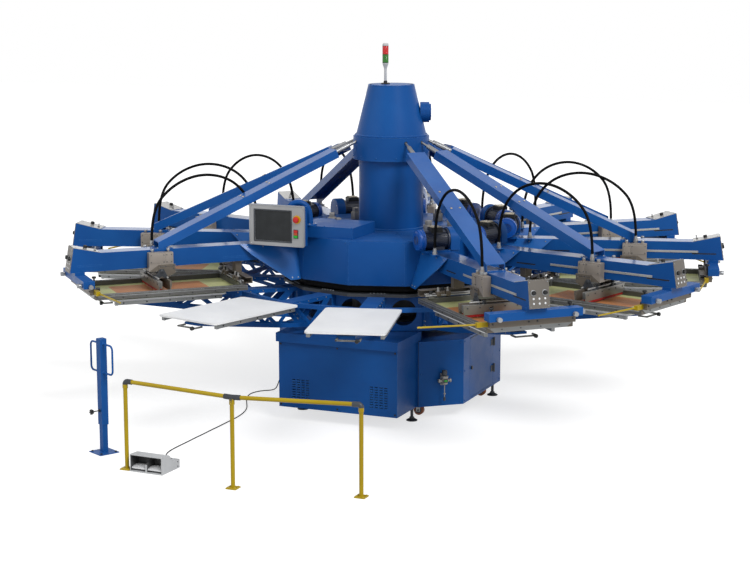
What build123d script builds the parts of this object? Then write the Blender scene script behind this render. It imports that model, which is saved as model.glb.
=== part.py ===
from build123d import *
import os
from math import atan2, cos, degrees, radians, sin, sqrt, tan

# Automatic carousel press for screen printing on garments: twelve pallets turn round a fixed column,
# and ten print heads reach out over them. Millimetres. The origin is on the floor on the column's
# axis, +Z is up, and the front, where the operator loads at the two open stations, is -Y.

os.makedirs("parts", exist_ok=True)

# ---- driving dimensions ----
SEAT = 0.3               # gap between two pieces that rest on each other
RUN = 0.05               # radial play of a pin in its hole
SHEET = 5                # sheet steel of covers, housing and arms

STATIONS = 12
PALLET_WIDE = 520
PALLET_IN = 1356
PALLET_OUT = 2189
PALLET_TOP = 926
PALLET_THICK = 12

CARRIER_TOP = 895        # top of the pallet arms
CARRIER_HALF = 60
CARRIER_TIP = 2140
CARRIER_LINE = ((650, 650), (1316, 738), (CARRIER_TIP, 880))      # underside of an arm, (r, z)
DRUM_R = 712             # from the axis to each flat of the carousel's drum
DRUM_LOW = 640
DRUM_WALL = 10
RACE_R = 430             # bearing race that the carousel turns on

COLUMN_R = 238
COLLAR_R = 280
COLLAR_LOW = 1799
COLLAR_HIGH = 1968
CAP_HIGH = 2342
LAMP_LOW = CAP_HIGH + 155 # foot of the first lamp module
LENS_HIGH = 61
FLOOR_PLATE = 96         # underside of the base

COVER_LOW = 975
COVER_HIGH = 1290
COVER_FLAT = 765         # from the axis to each flat of the cover

ARM_HALF = 71
ARM_TOP = 1232
ARM_LOW_ROOT = 1118
ARM_LOW_TIP = 1100
ARM_TIP = 2429
HOOD_START = 2208
HOOD_TIP = 2400
HOOD_TOP = 1274

BEAM_HALF = 68           # stay beam, a channel lying on its slope
BEAM_HIGH = 60
STAY_ANGLE = 24.2
STAY_R = 280
STAY_Z = 1930

PIVOT_R = 1794           # pin that the print tool rocks on, under the middle of the carriage
PIVOT_Z = 1085
CARRIAGE_IN = PIVOT_R - 87
CARRIAGE_OUT = PIVOT_R + 87
CARRIAGE_LOW = 1098
CARRIAGE_TOP = 1215
CARRIAGE_HALF = 130
SQUEEGEE_R = PIVOT_R + 42
SQUEEGEE_LOW = 950
SQUEEGEE_HALF = 250

FRAME_HALF = 300
FRAME_IN = 1215
FRAME_OUT = 2302
FRAME_LOW = 940
FRAME_TOP = 975
FRAME_TUBE = 36

HOUSING_FRONT = 624
HOUSING_SIDE = 732
HOUSING_TOP = 570
CABINET_HALF = 456
CABINET_FRONT = 977
DOOR_BACK, DOOR_FRONT = 230, -270
DOOR_LOW, DOOR_TOP = 110, 556

BARRIER_R = 2650
BARRIER_ANGLES = (-17.2, 1.0, 18.8)
BARRIER_TUBE = 13.5
BARRIER_TOP = 598

STAND_ANGLE = -26.9
STAND_R = 2511

PITCH = 360 / STATIONS
STATION_ANGLES = [PITCH * (n + 0.5) for n in range(STATIONS)]
HEAD_ANGLES = STATION_ANGLES[1:-1]      # the two front stations stay open for loading


# ---- drawing helpers: each station's parts are drawn at the front and turned round ----
def radial_plane(t):
    """Upright plane out from the column, t to the right of the station's centre: x is r, y is z."""
    return Plane(origin=(t, 0, 0), x_dir=(0, -1, 0), z_dir=(-1, 0, 0))


def box(x0, x1, y0, y1, z0, z1):
    return Pos((x0 + x1) / 2, (y0 + y1) / 2, (z0 + z1) / 2) * Box(x1 - x0, y1 - y0, z1 - z0)


def block(t0, t1, r0, r1, z0, z1):
    """Block at the front station: t across it, r out from the column, z up."""
    return box(t0, t1, -r1, -r0, z0, z1)


def side_cut(points, t0, t1):
    """Plate with a side view of (r, z) points, from t0 to t1 across the station."""
    face = radial_plane(t1) * make_face(Polyline(*points, close=True))
    return extrude(face, t1 - t0, dir=(-1, 0, 0))


def front_cut(points, r0, r1):
    """Plate with a front view of (t, z) points, from r0 to r1 out."""
    plane = Plane(origin=(0, -r0, 0), x_dir=(1, 0, 0), z_dir=(0, -1, 0))
    return extrude(plane * make_face(Polyline(*points, close=True)), r1 - r0, dir=(0, -1, 0))


def plan_cut(points, z0, z1):
    """Plate with a plan of (x, y) points, from z0 up to z1."""
    return Pos(0, 0, z0) * extrude(make_face(Polyline(*points, close=True)), z1 - z0, dir=(0, 0, 1))


def rod(start, end, radius):
    """Round bar between two points."""
    line = Vector(*end) - Vector(*start)
    align = (Align.CENTER, Align.CENTER, Align.MIN)
    return Plane(origin=start, z_dir=line) * Cylinder(radius, line.length, align=align)


def prism(start, end, radius, sides=8):
    """Small knob or stud between two points, with flats instead of a round side."""
    line = Vector(*end) - Vector(*start)
    face = Plane(origin=start, z_dir=line) * RegularPolygon(radius, sides)
    return extrude(face, line.length, dir=line.normalized())


def ring(outer, inner, z0, z1):
    face = Circle(outer) - Circle(inner)
    return Pos(0, 0, z0) * extrude(face, z1 - z0, dir=(0, 0, 1))


def turned_profile(points, centre=(0, 0)):
    """Solid of revolution from (radius, z) points round an upright axis."""
    face = Plane.XZ * make_face(Polyline(*points, close=True))
    return Pos(centre[0], centre[1], 0) * revolve(face, Axis.Z)


def both_sides(shape):
    """A piece and its mirror image on the other side of the station."""
    return [shape, mirror(shape, Plane.YZ)]


def repeat(angles, shapes):
    """The same pieces at every station in the list."""
    return [Rot(0, 0, angle) * shape for angle in angles for shape in shapes]


def bend_radii(points):
    """Bend radius for each corner of a cord: its arc takes 0.45 of the shorter run."""
    radii = []
    for a, b, c in zip(points, points[1:], points[2:]):
        u, v = Vector(*b) - Vector(*a), Vector(*c) - Vector(*b)
        half_turn = radians(u.get_angle(v)) / 2
        radii.append(0.45 * min(u.length, v.length) / tan(half_turn))
    return radii


def cord(points, radius):
    radii = bend_radii(points)
    path = FilletPolyline(*points, radius=radii)
    start = Vector(*points[0])
    section = Plane(origin=start, z_dir=Vector(*points[1]) - start) * Circle(radius)
    tube = sweep(section, path=path)
    share = tube.volume / (path.length * 3.14159265 * radius ** 2)
    print("cord length", round(path.length), "volume share", round(share, 4),
          "radii", [round(r) for r in radii])
    return tube


def save(name, *shapes):
    solids = [solid for shape in shapes for solid in shape.solids()]
    whole = Compound(children=solids) if len(solids) > 1 else solids[0]
    export_step(whole, f"parts/{name}.step")


# ---- base ----
def housing_plan(inset):
    """Eight-sided plan of the housing, its walls moved in by inset."""
    front, side = HOUSING_FRONT - inset, HOUSING_SIDE - inset
    corner_x, corner_y = 473 - 0.38 * inset, 400 - 0.42 * inset
    quarter = [(corner_x, -front), (side, -corner_y), (side, corner_y), (corner_x, front)]
    return quarter + [(-x, -y) for x, y in quarter]


GLAND_X, GLAND_Y, GLAND_Z = HOUSING_SIDE + 18, -226, 130      # where the foot switch's cable goes in
HINGE_X, HINGE_Y = HOUSING_SIDE + 8, DOOR_BACK + 2
HINGE_SPANS = ((404, 463), (203, 262))
PIN_R = 4


def fixed_hinge(low, high):
    """Leaf screwed to the housing, with the pin held by an ear at each end."""
    face = HOUSING_SIDE + SEAT
    hinge = box(face, face + 3, HINGE_Y + 7, HINGE_Y + 30, low, high)
    hinge += rod((HINGE_X, HINGE_Y, low), (HINGE_X, HINGE_Y, high), PIN_R)
    for z0, z1 in ((low, low + 6), (high - 6, high)):
        hinge += rod((HINGE_X, HINGE_Y, z0), (HINGE_X, HINGE_Y, z1), 7)
        hinge += box(face + 0.5, HINGE_X, HINGE_Y, HINGE_Y + 10, z0, z1)
    return hinge


def base_housing():
    shell = plan_cut(housing_plan(0), FLOOR_PLATE, HOUSING_TOP)
    shell -= plan_cut(housing_plan(SHEET), FLOOR_PLATE + 8, HOUSING_TOP - SHEET)
    shell -= rod((0, 0, FLOOR_PLATE + 8), (0, 0, HOUSING_TOP + 1), COLUMN_R + SEAT)
    shell -= box(HOUSING_SIDE - 20, HOUSING_SIDE + 20, DOOR_FRONT, DOOR_BACK, DOOR_LOW, DOOR_TOP)
    gland = prism((-HOUSING_SIDE - SEAT, GLAND_Y, GLAND_Z), (-GLAND_X, GLAND_Y, GLAND_Z), 11)
    return [shell, gland] + [fixed_hinge(low, high) for low, high in HINGE_SPANS]


def service_door():
    gap = 3
    door = box(HOUSING_SIDE - SHEET, HOUSING_SIDE, DOOR_FRONT + gap, DOOR_BACK - gap,
               DOOR_LOW + gap, DOOR_TOP - gap)
    for low, high in HINGE_SPANS:
        z0, z1 = low + 6 + SEAT, high - 6 - SEAT
        door += box(HOUSING_SIDE, HOUSING_SIDE + 3, 180, DOOR_BACK - 4, z0, z1)
        door += box(HOUSING_SIDE + 1, HINGE_X, DOOR_BACK - 12, HINGE_Y, z0, z1)
        door += rod((HINGE_X, HINGE_Y, z0), (HINGE_X, HINGE_Y, z1), 7)
        door -= rod((HINGE_X, HINGE_Y, z0 - 1), (HINGE_X, HINGE_Y, z1 + 1), PIN_R + RUN)
    door += prism((HOUSING_SIDE, -238, 330), (HOUSING_SIDE + 8, -238, 330), 14)
    return door


def louvres(x0, x1):
    """Four columns of slots in the cabinet's front sheet."""
    columns, rows = 4, 9
    low, high = 150, 312
    step_x, step_z = (x1 - x0) / columns, (high - low) / rows
    slot = Box(step_x - 10, 30, step_z - 8)
    at = [(x0 + step_x * (i + 0.5), low + step_z * (j + 0.5)) for i in range(columns) for j in range(rows)]
    return [Pos(x, -CABINET_FRONT, z) * slot for x, z in at]


def front_cabinet():
    back = -HOUSING_FRONT - SEAT
    face = -CABINET_FRONT + 3
    body = box(-CABINET_HALF, CABINET_HALF, face, back, FLOOR_PLATE, 572)
    body -= box(-CABINET_HALF + 4, CABINET_HALF - 4, face - 1, back - 4, FLOOR_PLATE + 4, 568)
    sheet = box(-CABINET_HALF, CABINET_HALF, -CABINET_FRONT, face - SEAT, FLOOR_PLATE, 572)
    sheet -= louvres(-357, -214) + louvres(243, 388)
    lid = box(-468, 468, -1000, -560, 572 + SEAT, 636)
    lid -= box(-464, 464, -996, -564, 576 + SEAT, 632)
    lid -= box(-440, 440, -950, -600, 570, 580)
    return [body, sheet, lid]


FOOT_PLACES = ((430, -640), (-430, -640), (700, 315), (-700, 315))
CASTER_PLACES = ((430, -500), (-430, -500), (640, 230), (-640, 230))


def leveling_foot(x, y):
    return turned_profile([(0, 0), (40, 0), (40, 6), (22, 16), (10, 18), (10, FLOOR_PLATE - SEAT),
                           (0, FLOOR_PLATE - SEAT)], (x, y))


def caster(x, y):
    """Transport wheel in its fork, wound up clear of the floor."""
    axle = 47
    fork = box(x - 24, x + 24, y - 24, y + 24, FLOOR_PLATE - 6, FLOOR_PLATE - SEAT)
    for side in (-1, 1):
        cheek = box(x - 14, x + 14, y - 1.5, y + 1.5, axle - 10, FLOOR_PLATE - 5)
        fork += Pos(0, side * 18, 0) * cheek
    wheel = rod((x, y - 16, axle), (x, y + 16, axle), 36)
    return [fork, wheel]


def air_regulator():
    """Filter and pressure regulator of the air supply, on the slanted wall at the front right."""
    body = turned_profile([(0, 138), (8, 138), (8, 160), (24, 168), (24, 262), (28, 266), (28, 316),
                           (20, 320), (20, 370), (0, 370)])
    ports = rod((-57, 0, 290), (57, 0, 290), 15)
    inlet = rod((45, 0, 290), (58, 0, 290), 5.9)
    plate = box(-22, 22, 30, 40, 240, 340) + box(-10, 10, 15, 35, 280, 300)
    unit = (body + ports + plate) - inlet
    run_x, run_y = HOUSING_SIDE - 473, HOUSING_FRONT - 400
    length = sqrt(run_x ** 2 + run_y ** 2)
    along = (run_x / length, run_y / length)
    stand_off = 40 + SEAT
    x = 473 + along[0] * 183 + along[1] * stand_off
    y = -HOUSING_FRONT + along[1] * 183 - along[0] * stand_off
    return Pos(x, y, 0) * Rot(0, 0, degrees(atan2(run_y, run_x))) * unit


def drive_equipment():
    """Electrical plate behind the door and the gearmotor that indexes the carousel."""
    floor = FLOOR_PLATE + 8 + SEAT
    plate = box(430, 436, -200, 170, floor, 500)
    drive = box(436 + SEAT, 520, -170, -70, 300, 460)
    breaker = box(436 + SEAT, 500, 90, 150, 340, 460)
    contactors = [box(436 + SEAT, 505, y, y + 48, 370, 450) for y in (-50, 0)]
    terminals = box(436 + SEAT, 470, -170, 150, 200, 240)
    gearbox = box(-600, -420, -90, 90, floor, floor + 180)
    motor = rod((-510, 0, floor + 180), (-510, 0, floor + 400), 75)
    return [plate, drive, breaker, *contactors, terminals, gearbox + motor]


# ---- column and what stands on it ----
def stay_point(along, up):
    """Point (r, z) on the stay, measured down its slope from the collar and square to it."""
    a = radians(STAY_ANGLE)
    return (STAY_R + along * cos(a) + up * sin(a), STAY_Z - along * sin(a) + up * cos(a))


def column():
    tube = ring(COLUMN_R, COLUMN_R - 12, FLOOR_PLATE + 8 + SEAT, COLLAR_HIGH - 8)
    inner = COLUMN_R + SEAT
    collar = turned_profile([(inner, COLLAR_LOW), (COLLAR_R, COLLAR_LOW), (COLLAR_R, COLLAR_HIGH),
                             (inner, COLLAR_HIGH), (inner, COLLAR_HIGH - 8), (COLLAR_R - 8, COLLAR_HIGH - 8),
                             (COLLAR_R - 8, COLLAR_LOW + 8), (inner, COLLAR_LOW + 8)])
    inside, outside = stay_point(-20, 0), stay_point(20, 0)
    hole = rod((0, -inside[0], inside[1]), (0, -outside[0], outside[1]), 13)
    collar -= repeat(HEAD_ANGLES, [hole])
    return [tube, collar]


def column_cap():
    low, high = COLLAR_HIGH + SEAT, CAP_HIGH
    shell = turned_profile([(261, low), (170, high - 8), (160, high), (0, high), (0, high - SHEET),
                            (156, high - SHEET), (165, high - 10), (255, low)])
    inner, reach, z = 212, 290, 2138
    cowl = rod((0, -inner, z), (0, -reach + 12, z), 75) + rod((0, -reach + 12, z), (0, -reach, z), 62)
    wall = turned_profile([(0, low), (261 + SEAT, low), (170 + SEAT, high), (0, high)])
    return [shell, (Rot(0, 0, 113) * cowl) - wall]


def hub_cover():
    corner = COVER_FLAT / cos(radians(PITCH / 2))
    cover = Pos(0, 0, COVER_LOW) * extrude(RegularPolygon(corner, STATIONS), COVER_HIGH - COVER_LOW)
    cover -= Pos(0, 0, COVER_LOW) * extrude(RegularPolygon(corner - SHEET, STATIONS), COVER_HIGH - COVER_LOW - SHEET)
    cover -= rod((0, 0, COVER_LOW), (0, 0, COVER_HIGH + 1), COLUMN_R + SEAT)
    skirt = Pos(0, 0, COVER_LOW - 43) * extrude(RegularPolygon(corner - 40, STATIONS), 43 - SEAT)
    skirt += Pos(0, 0, COVER_LOW - 6) * extrude(RegularPolygon(corner - 2, STATIONS), 6 - SEAT)
    skirt -= rod((0, 0, 900), (0, 0, 1000), 330)
    duct = box(-440, 10, -730, -330, COVER_HIGH + SEAT, 1372)
    duct -= box(-436, 6, -726, -334, COVER_HIGH, 1368)
    return [cover, skirt, duct]


def stack_light():
    """Lamp pole: a red module over a green one."""
    x, y = -43, -9
    foot, middle, top = LAMP_LOW, LAMP_LOW + LENS_HIGH, LAMP_LOW + 2 * LENS_HIGH
    pole = turned_profile([(0, CAP_HIGH + SEAT), (10, CAP_HIGH + SEAT), (10, foot - 42), (22, foot - 7),
                           (22, foot), (0, foot)], (x, y))
    green = rod((x, y, foot + SEAT), (x, y, middle), 22)
    red = rod((x, y, middle + SEAT), (x, y, top), 22)
    cap = turned_profile([(0, top + SEAT), (22, top + SEAT), (22, top + 13), (16, top + 21), (0, top + 21)], (x, y))
    return [pole, green, red, cap]


# ---- carousel ----
def lift_carrier():
    """Sleeve that raises the carousel, with the flange that it turns on."""
    low, ledge = HOUSING_TOP + SEAT, DRUM_LOW - SEAT
    return turned_profile([(244, low), (290, low), (290, ledge - 25), (RACE_R + 35, ledge - 25),
                           (RACE_R + 35, ledge), (RACE_R, ledge), (RACE_R, ledge + 25), (290, ledge + 25),
                           (290, 960), (244, 960)])


def drum_corner(inset=0.0):
    """Radius of the drum's corners, which point at the pallet arms."""
    return (DRUM_R - inset) / cos(radians(PITCH / 2))


def drum_panel():
    """One flat of the drum, between two pallet arms, with its round access port."""
    half = radians(PITCH / 2)
    low = DRUM_LOW + 12 + SEAT
    outer, inner = DRUM_R * tan(half) - SEAT / 2, (DRUM_R - DRUM_WALL) * tan(half) - SEAT / 2
    panel = plan_cut([(-outer, -DRUM_R), (outer, -DRUM_R), (inner, DRUM_WALL - DRUM_R), (-inner, DRUM_WALL - DRUM_R)],
                     low, CARRIER_TOP)
    return panel - rod((0, 50 - DRUM_R, 772), (0, -50 - DRUM_R, 772), 93)


def segment(near, far, low, high):
    """One twelfth of a flat ring round the axis, with straight inner and outer edges."""
    half = radians(PITCH / 2)
    corners = [(side * (r * tan(half) - SEAT / 2), -r) for side, r in ((-1, far), (1, far), (1, near), (-1, near))]
    return plan_cut(corners, low, high)


def carousel_hub():
    """Drum of the carousel: a floor round the bearing race, twelve flats, and a dark plate on top."""
    floor = segment(RACE_R + SEAT, DRUM_R - SEAT, DRUM_LOW, DRUM_LOW + 12)
    top = segment(330, 772, CARRIER_TOP + SEAT, CARRIER_TOP + SEAT + 20)
    between = [PITCH * n for n in range(STATIONS)]
    return repeat(between, [floor, drum_panel()]) + repeat(STATION_ANGLES, [top])


def carrier_low(r):
    """Underside of a pallet arm at radius r: it rises in nearly one line from the drum to the tip."""
    for (r0, z0), (r1, z1) in zip(CARRIER_LINE, CARRIER_LINE[1:]):
        if r <= r1:
            return z0 + (z1 - z0) * (r - r0) / (r1 - r0)


def truss_holes():
    """Openings cut through both sides of a pallet arm: a tall one by the drum, then triangles by turns."""
    chord, web = 28, 28
    root, top = 764, CARRIER_TOP - chord
    openings = [[(root, carrier_low(root) + chord), (root, top), (788, top), (930, carrier_low(930) + chord)]]
    stops = [812, 1000, 1194, 1352, 1500, 1640, 1770]
    low = [carrier_low(r) + chord - web / 2 for r in stops]
    high = top + web / 2
    for i in range(len(stops) - 2):
        heights = [low[i + k] if (i + k) % 2 else high for k in range(3)]
        corners = make_face(Polyline(*[(stops[i + k], heights[k]) for k in range(3)], close=True))
        inner = offset(corners, -web / 2, kind=Kind.INTERSECTION)
        openings.append([(v.X, v.Y) for v in inner.vertices()])
    return [side_cut(around(points), -100, 100) for points in openings]


def around(points):
    """The same corners in order round their middle."""
    x, y = sum(p[0] for p in points) / len(points), sum(p[1] for p in points) / len(points)
    return sorted(points, key=lambda p: atan2(p[1] - y, p[0] - x))


def pallet_arm():
    root = DRUM_R
    outline = [(root, CARRIER_TOP), (root, carrier_low(root)), *CARRIER_LINE[1:], (CARRIER_TIP, CARRIER_TOP)]
    corner = drum_corner(-SEAT)
    inside = [(corner + 6, CARRIER_TOP - 6), (corner + 6, 600), (CARRIER_TIP - 6, 600),
              (CARRIER_TIP - 6, CARRIER_TOP - 6)]
    arm = side_cut(outline, -CARRIER_HALF, CARRIER_HALF)
    arm -= side_cut(inside, -CARRIER_HALF + 6, CARRIER_HALF - 6)
    arm -= truss_holes()
    arm -= Pos(0, 0, 600) * extrude(RegularPolygon(corner, STATIONS), 400)
    return arm


def cross_member():
    """Tie between two neighbouring pallet arms, half a pitch round from each."""
    half = radians(PITCH / 2)
    near, far = 1130, 1160

    def reach(r):
        return (r * sin(half) - CARRIER_HALF - SEAT) / cos(half)

    corners = [(-reach(near), -near), (reach(near), -near), (reach(far), -far), (-reach(far), -far)]
    return plan_cut(corners, 860, 890)


def pallet_bracket():
    """Rails and struts under a pallet, and the pull bar of its quick clamp."""
    top = PALLET_TOP - PALLET_THICK - SEAT
    rail = block(226, 250, 1390, 2160, 886, top)
    struts = [block(-226 + SEAT, 226 - SEAT, r - 22, r + 22, CARRIER_TOP + SEAT, top) for r in (1450, 2050)]
    tip = CARRIER_TIP + SEAT
    pull = [block(t, t + 10, tip, 2200, 874, 884) for t in (-57, 93)] + [block(-57, 103, 2200, 2210, 874, 884)]
    knob = prism((84, -2210 - SEAT, 879), (84, -2228, 879), 13)
    return both_sides(rail) + struts + pull + [knob]


def pallet():
    plate = Pos(0, -(PALLET_IN + PALLET_OUT) / 2, PALLET_TOP - PALLET_THICK / 2)
    plate = plate * Box(PALLET_WIDE, PALLET_OUT - PALLET_IN, PALLET_THICK)
    return fillet(plate.edges().filter_by(Axis.Z), 30)


# ---- print arms and stays ----
HOSE_T = -100
HOSE_START_R, HOSE_START_Z = 1035, 1262
HOSE_END_R, HOSE_END_Z = PIVOT_R + 6, CARRIAGE_TOP + 35


def arm_outline(inset):
    return [(COVER_FLAT + SEAT - inset, ARM_LOW_ROOT + inset), (ARM_TIP - inset, ARM_LOW_TIP + inset),
            (HOOD_TIP - inset, HOOD_TOP - inset), (HOOD_START, ARM_TOP - inset),
            (COVER_FLAT + SEAT - inset, ARM_TOP - inset)]


def arm_low(r):
    """Underside of a print arm at radius r."""
    return ARM_LOW_ROOT - (ARM_LOW_ROOT - ARM_LOW_TIP) * (r - COVER_FLAT) / (ARM_TIP - COVER_FLAT)


def print_arm():
    """Box-section arm, with the slot that the carriage drive shows in beyond each end of the rail."""
    arm = side_cut(arm_outline(0), -ARM_HALF, ARM_HALF)
    arm -= side_cut(arm_outline(SHEET), -ARM_HALF + SHEET, ARM_HALF - SHEET)
    for near, far in ((1166, 1325), (2205, 2378)):
        arm -= block(-100, 100, near, far, 1141, 1151)
    return arm


def gusset():
    """Side plate that ties the arm to the hub, with the tab that holds the hose."""
    inner = ARM_HALF + SEAT
    outline = [(COVER_FLAT + 3, 965), (890, 961), (1134, 1158), (1195, ARM_TOP), (COVER_FLAT + 3, ARM_TOP)]
    plates = both_sides(side_cut(outline, inner, inner + 6))
    tab = block(-125, -inner - 6 - SEAT, 1010, 1060, 1233, 1238)
    gland = prism((HOSE_T, -HOSE_START_R, 1238 + SEAT), (HOSE_T, -HOSE_START_R, HOSE_START_Z), 15)
    return plates + [tab, gland]


def carriage_rail():
    inner = ARM_HALF + SEAT
    return both_sides(block(inner, inner + 3, 1448, 2249, 1153, 1168))


def drive_motor():
    """Motor that strokes the carriage: fan cowl, body with its terminal box, belt cover."""
    r, z, radius = 870, 1316, 70
    base = block(-120, 125, r - 75, r + 75, ARM_TOP + SEAT, 1246)
    body = rod((-125 + SEAT, -r, z), (60 - SEAT, -r, z), radius - 4)
    body += block(-60, 30, r - 45, r + 45, 1246 + SEAT, z)
    body += block(-70, 10, r - 30, r + 50, z + 40, z + 88)
    cowl = rod((-165, -r, z), (-125, -r, z), radius)
    outline = Pos(r, z) * Circle(84) + Pos(r, (z + 1246) / 2) * Rectangle(168, z - 1246)
    outline = radial_plane(60) * outline
    cover = extrude(outline, 65, dir=(1, 0, 0))
    cover -= block(0, 200, r - 100, r + 100, 1200, 1246 + SEAT)
    return [base, body, cowl, cover]


def stay_beam():
    """Sloping channel from its foot on the arm, and the adjusting rod up to the collar."""
    foot_top = ARM_TOP + 6
    a = radians(STAY_ANGLE)
    end_r, half = 1795, BEAM_HIGH / 2
    start = 182
    top_run = (end_r - STAY_R - half * sin(a)) / cos(a)
    low_run = (STAY_Z - half * cos(a) - foot_top - SEAT) / sin(a)
    top_end = stay_point(top_run, half)
    outline = [stay_point(start, -half), stay_point(start, half), top_end, (end_r, foot_top + SEAT),
               stay_point(low_run, -half)]
    beam = side_cut(outline, -BEAM_HALF, BEAM_HALF)
    hollow = [stay_point(start + 6, -half - 5), stay_point(start + 6, half - 5), stay_point(top_run + 80, half - 5),
              stay_point(top_run + 80, -half - 5)]
    beam -= side_cut(hollow, -BEAM_HALF + 5, BEAM_HALF - 5)
    foot = block(-BEAM_HALF, BEAM_HALF, 1690, 1810, ARM_TOP + SEAT, foot_top)
    pin_in, pin_out, sleeve_out = stay_point(-18, 0), stay_point(62, 0), stay_point(start - SEAT, 0)
    rod_end = rod((0, -pin_in[0], pin_in[1]), (0, -pin_out[0], pin_out[1]), 8)
    sleeve = rod((0, -pin_out[0], pin_out[1]), (0, -sleeve_out[0], sleeve_out[1]), 17)
    return [beam, foot, rod_end + sleeve]


# ---- screen holders ----
def frame_holder():
    """Outer crossbar and clamp, and the inner channel with its two clamp blocks."""
    bar = block(-325, 325, 2315, 2393, 1026 + SEAT, 1078) - block(-326, 326, 2319, 2389, 1030, 1074)
    post = block(-ARM_HALF, ARM_HALF, 2325, 2395, 1078 + SEAT, arm_low(2395) - SEAT)
    lip = FRAME_OUT + SEAT
    jaw = [(2268, FRAME_TOP + SEAT), (lip, FRAME_TOP + SEAT), (lip, 941), (2308, 941), (2308, 978), (2345, 978),
           (2345, 1026), (2304, 1026), (2304, 990), (2268, 990)]
    clamp = side_cut(jaw, -FRAME_HALF, FRAME_HALF)
    plate = front_cut([(-300, 977), (300, 977), (250, 942), (-250, 942)], 2308 + SEAT, 2312)
    channel = [(1175, 985), (1225, 985), (1225, 990), (1181, 990), (1181, 1025), (1225, 1025), (1225, 1030),
               (1175, 1030)]
    rear = side_cut(channel, -285, 285)
    rear_post = block(-40, 40, 1178, 1222, 1030 + SEAT, arm_low(1222) - SEAT)
    grips = both_sides(block(200, 240, 1195, 1262, FRAME_TOP + SEAT, 985 - SEAT))
    return [bar, post, clamp, plate, rear, rear_post] + grips


def registration_knobs():
    """Micro-adjustment knobs on the crossbar and clamping screws over both holders."""
    front = both_sides(prism((265, -2393 - SEAT, 1042), (265, -2425, 1042), 14))
    end = prism((325 + SEAT, -2346, 1042), (360, -2346, 1042), 14)
    screws = []
    for side in (-275, 275):
        stem = prism((side, -2309, 1026 + SEAT), (side, -2309, 1092), 5, 6)
        screws.append(stem + prism((side, -2309, 1092), (side, -2309, 1103), 14))
    rear = both_sides(prism((220, -1245, 985), (220, -1245, 1022), 12))
    return front + [end] + screws + rear


def screen_frame():
    """Four tubes, each end tube between the two long ones."""
    inner = FRAME_HALF - FRAME_TUBE
    long_tube = block(inner, FRAME_HALF, FRAME_IN, FRAME_OUT, FRAME_LOW, FRAME_TOP)
    ends = [block(-inner, inner, r, r + FRAME_TUBE, FRAME_LOW, FRAME_TOP)
            for r in (FRAME_IN, FRAME_OUT - FRAME_TUBE)]
    return both_sides(long_tube) + ends


def screen_mesh():
    inner = FRAME_HALF - FRAME_TUBE - SEAT
    return block(-inner, inner, FRAME_IN + FRAME_TUBE + SEAT, FRAME_OUT - FRAME_TUBE - SEAT, FRAME_LOW, FRAME_LOW + 2)


def trip_rod(side):
    """Safety rod that stops the carousel when it is touched, beside each screen."""
    foot = block(FRAME_HALF + SEAT, 375, 2290, 2318, 983, 1013)
    foot += rod((370, -2296, 998), (745, -2244, 998), 6)
    return foot if side > 0 else mirror(foot, Plane.YZ)


def head_controls():
    """Sloping top panel and end panel of a head, with their knobs."""
    slope = atan2(HOOD_TOP - ARM_TOP, HOOD_TIP - HOOD_START)
    top_line = [(HOOD_START + 4, ARM_TOP + SEAT + 1), (HOOD_TIP, HOOD_TOP + SEAT), (HOOD_TIP, HOOD_TOP + 4),
                (HOOD_START + 4, ARM_TOP + 5)]
    lean = (ARM_TIP - HOOD_TIP) / (HOOD_TOP - ARM_LOW_TIP)
    end_line = [(ARM_TIP + SEAT, ARM_LOW_TIP), (HOOD_TIP + SEAT, HOOD_TOP), (HOOD_TIP + 5, HOOD_TOP),
                (ARM_TIP + 5, ARM_LOW_TIP)]
    panels = [side_cut(top_line, -ARM_HALF, ARM_HALF), side_cut(end_line, -ARM_HALF, ARM_HALF)]

    def on_top(r, t, high, radius, sides):
        z = ARM_TOP + 5 + (r - HOOD_START) * tan(slope)
        tip = (t, -r + high * sin(slope), z + high * cos(slope))
        return prism((t, -r, z), tip, radius, sides)

    def on_end(t, z, out, radius):
        r = ARM_TIP + 5 - (z - ARM_LOW_TIP) * lean
        return prism((t, -r - SEAT, z), (t, -r - out, z + out * lean), radius)

    knobs = [on_top(2300, -20, 20, 13, 8), on_top(2240, 20, 26, 5, 6)]
    knobs += [on_end(t, 1196, 16, 13) for t in (-40, 40)]
    return panels + knobs


# ---- moving head parts ----
PIVOT_PIN = 8


def carriage():
    """Saddle round the arm: two side boxes joined below, with the cheeks that hang the print tool."""
    inner = ARM_HALF + 2 * SEAT + 3
    low = CARRIAGE_LOW - 12
    saddle = [(-CARRIAGE_HALF, low), (CARRIAGE_HALF, low), (CARRIAGE_HALF, CARRIAGE_TOP), (inner, CARRIAGE_TOP),
              (inner, CARRIAGE_LOW), (-inner, CARRIAGE_LOW), (-inner, CARRIAGE_TOP), (-CARRIAGE_HALF, CARRIAGE_TOP)]
    body = front_cut(saddle, CARRIAGE_IN, CARRIAGE_OUT)
    r, z = PIVOT_R, PIVOT_Z
    cheek = side_cut([(r - 100, z + 48), (r - 100, z - 15), (r - 24, z - 50), (r + 18, z - 50), (r + 18, z + 48)],
                     CARRIAGE_HALF, CARRIAGE_HALF + 5)
    cheek -= side_cut([(r - 88, z + 35), (r - 88, z + 27), (r - 34, z + 27), (r - 34, z + 35)], 0, 200)
    cheek += rod((CARRIAGE_HALF + 5, -PIVOT_R, PIVOT_Z), (CARRIAGE_HALF + 14, -PIVOT_R, PIVOT_Z), PIVOT_PIN)
    for shape in both_sides(cheek):
        body += shape
    for at in (CARRIAGE_IN + 28, CARRIAGE_OUT - 31):
        body += prism((HOSE_T, -at, CARRIAGE_TOP), (HOSE_T, -at, CARRIAGE_TOP + 24), 12)
    return body + prism((HOSE_T, -HOSE_END_R, CARRIAGE_TOP), (HOSE_T, -HOSE_END_R, HOSE_END_Z), 15)


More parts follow.
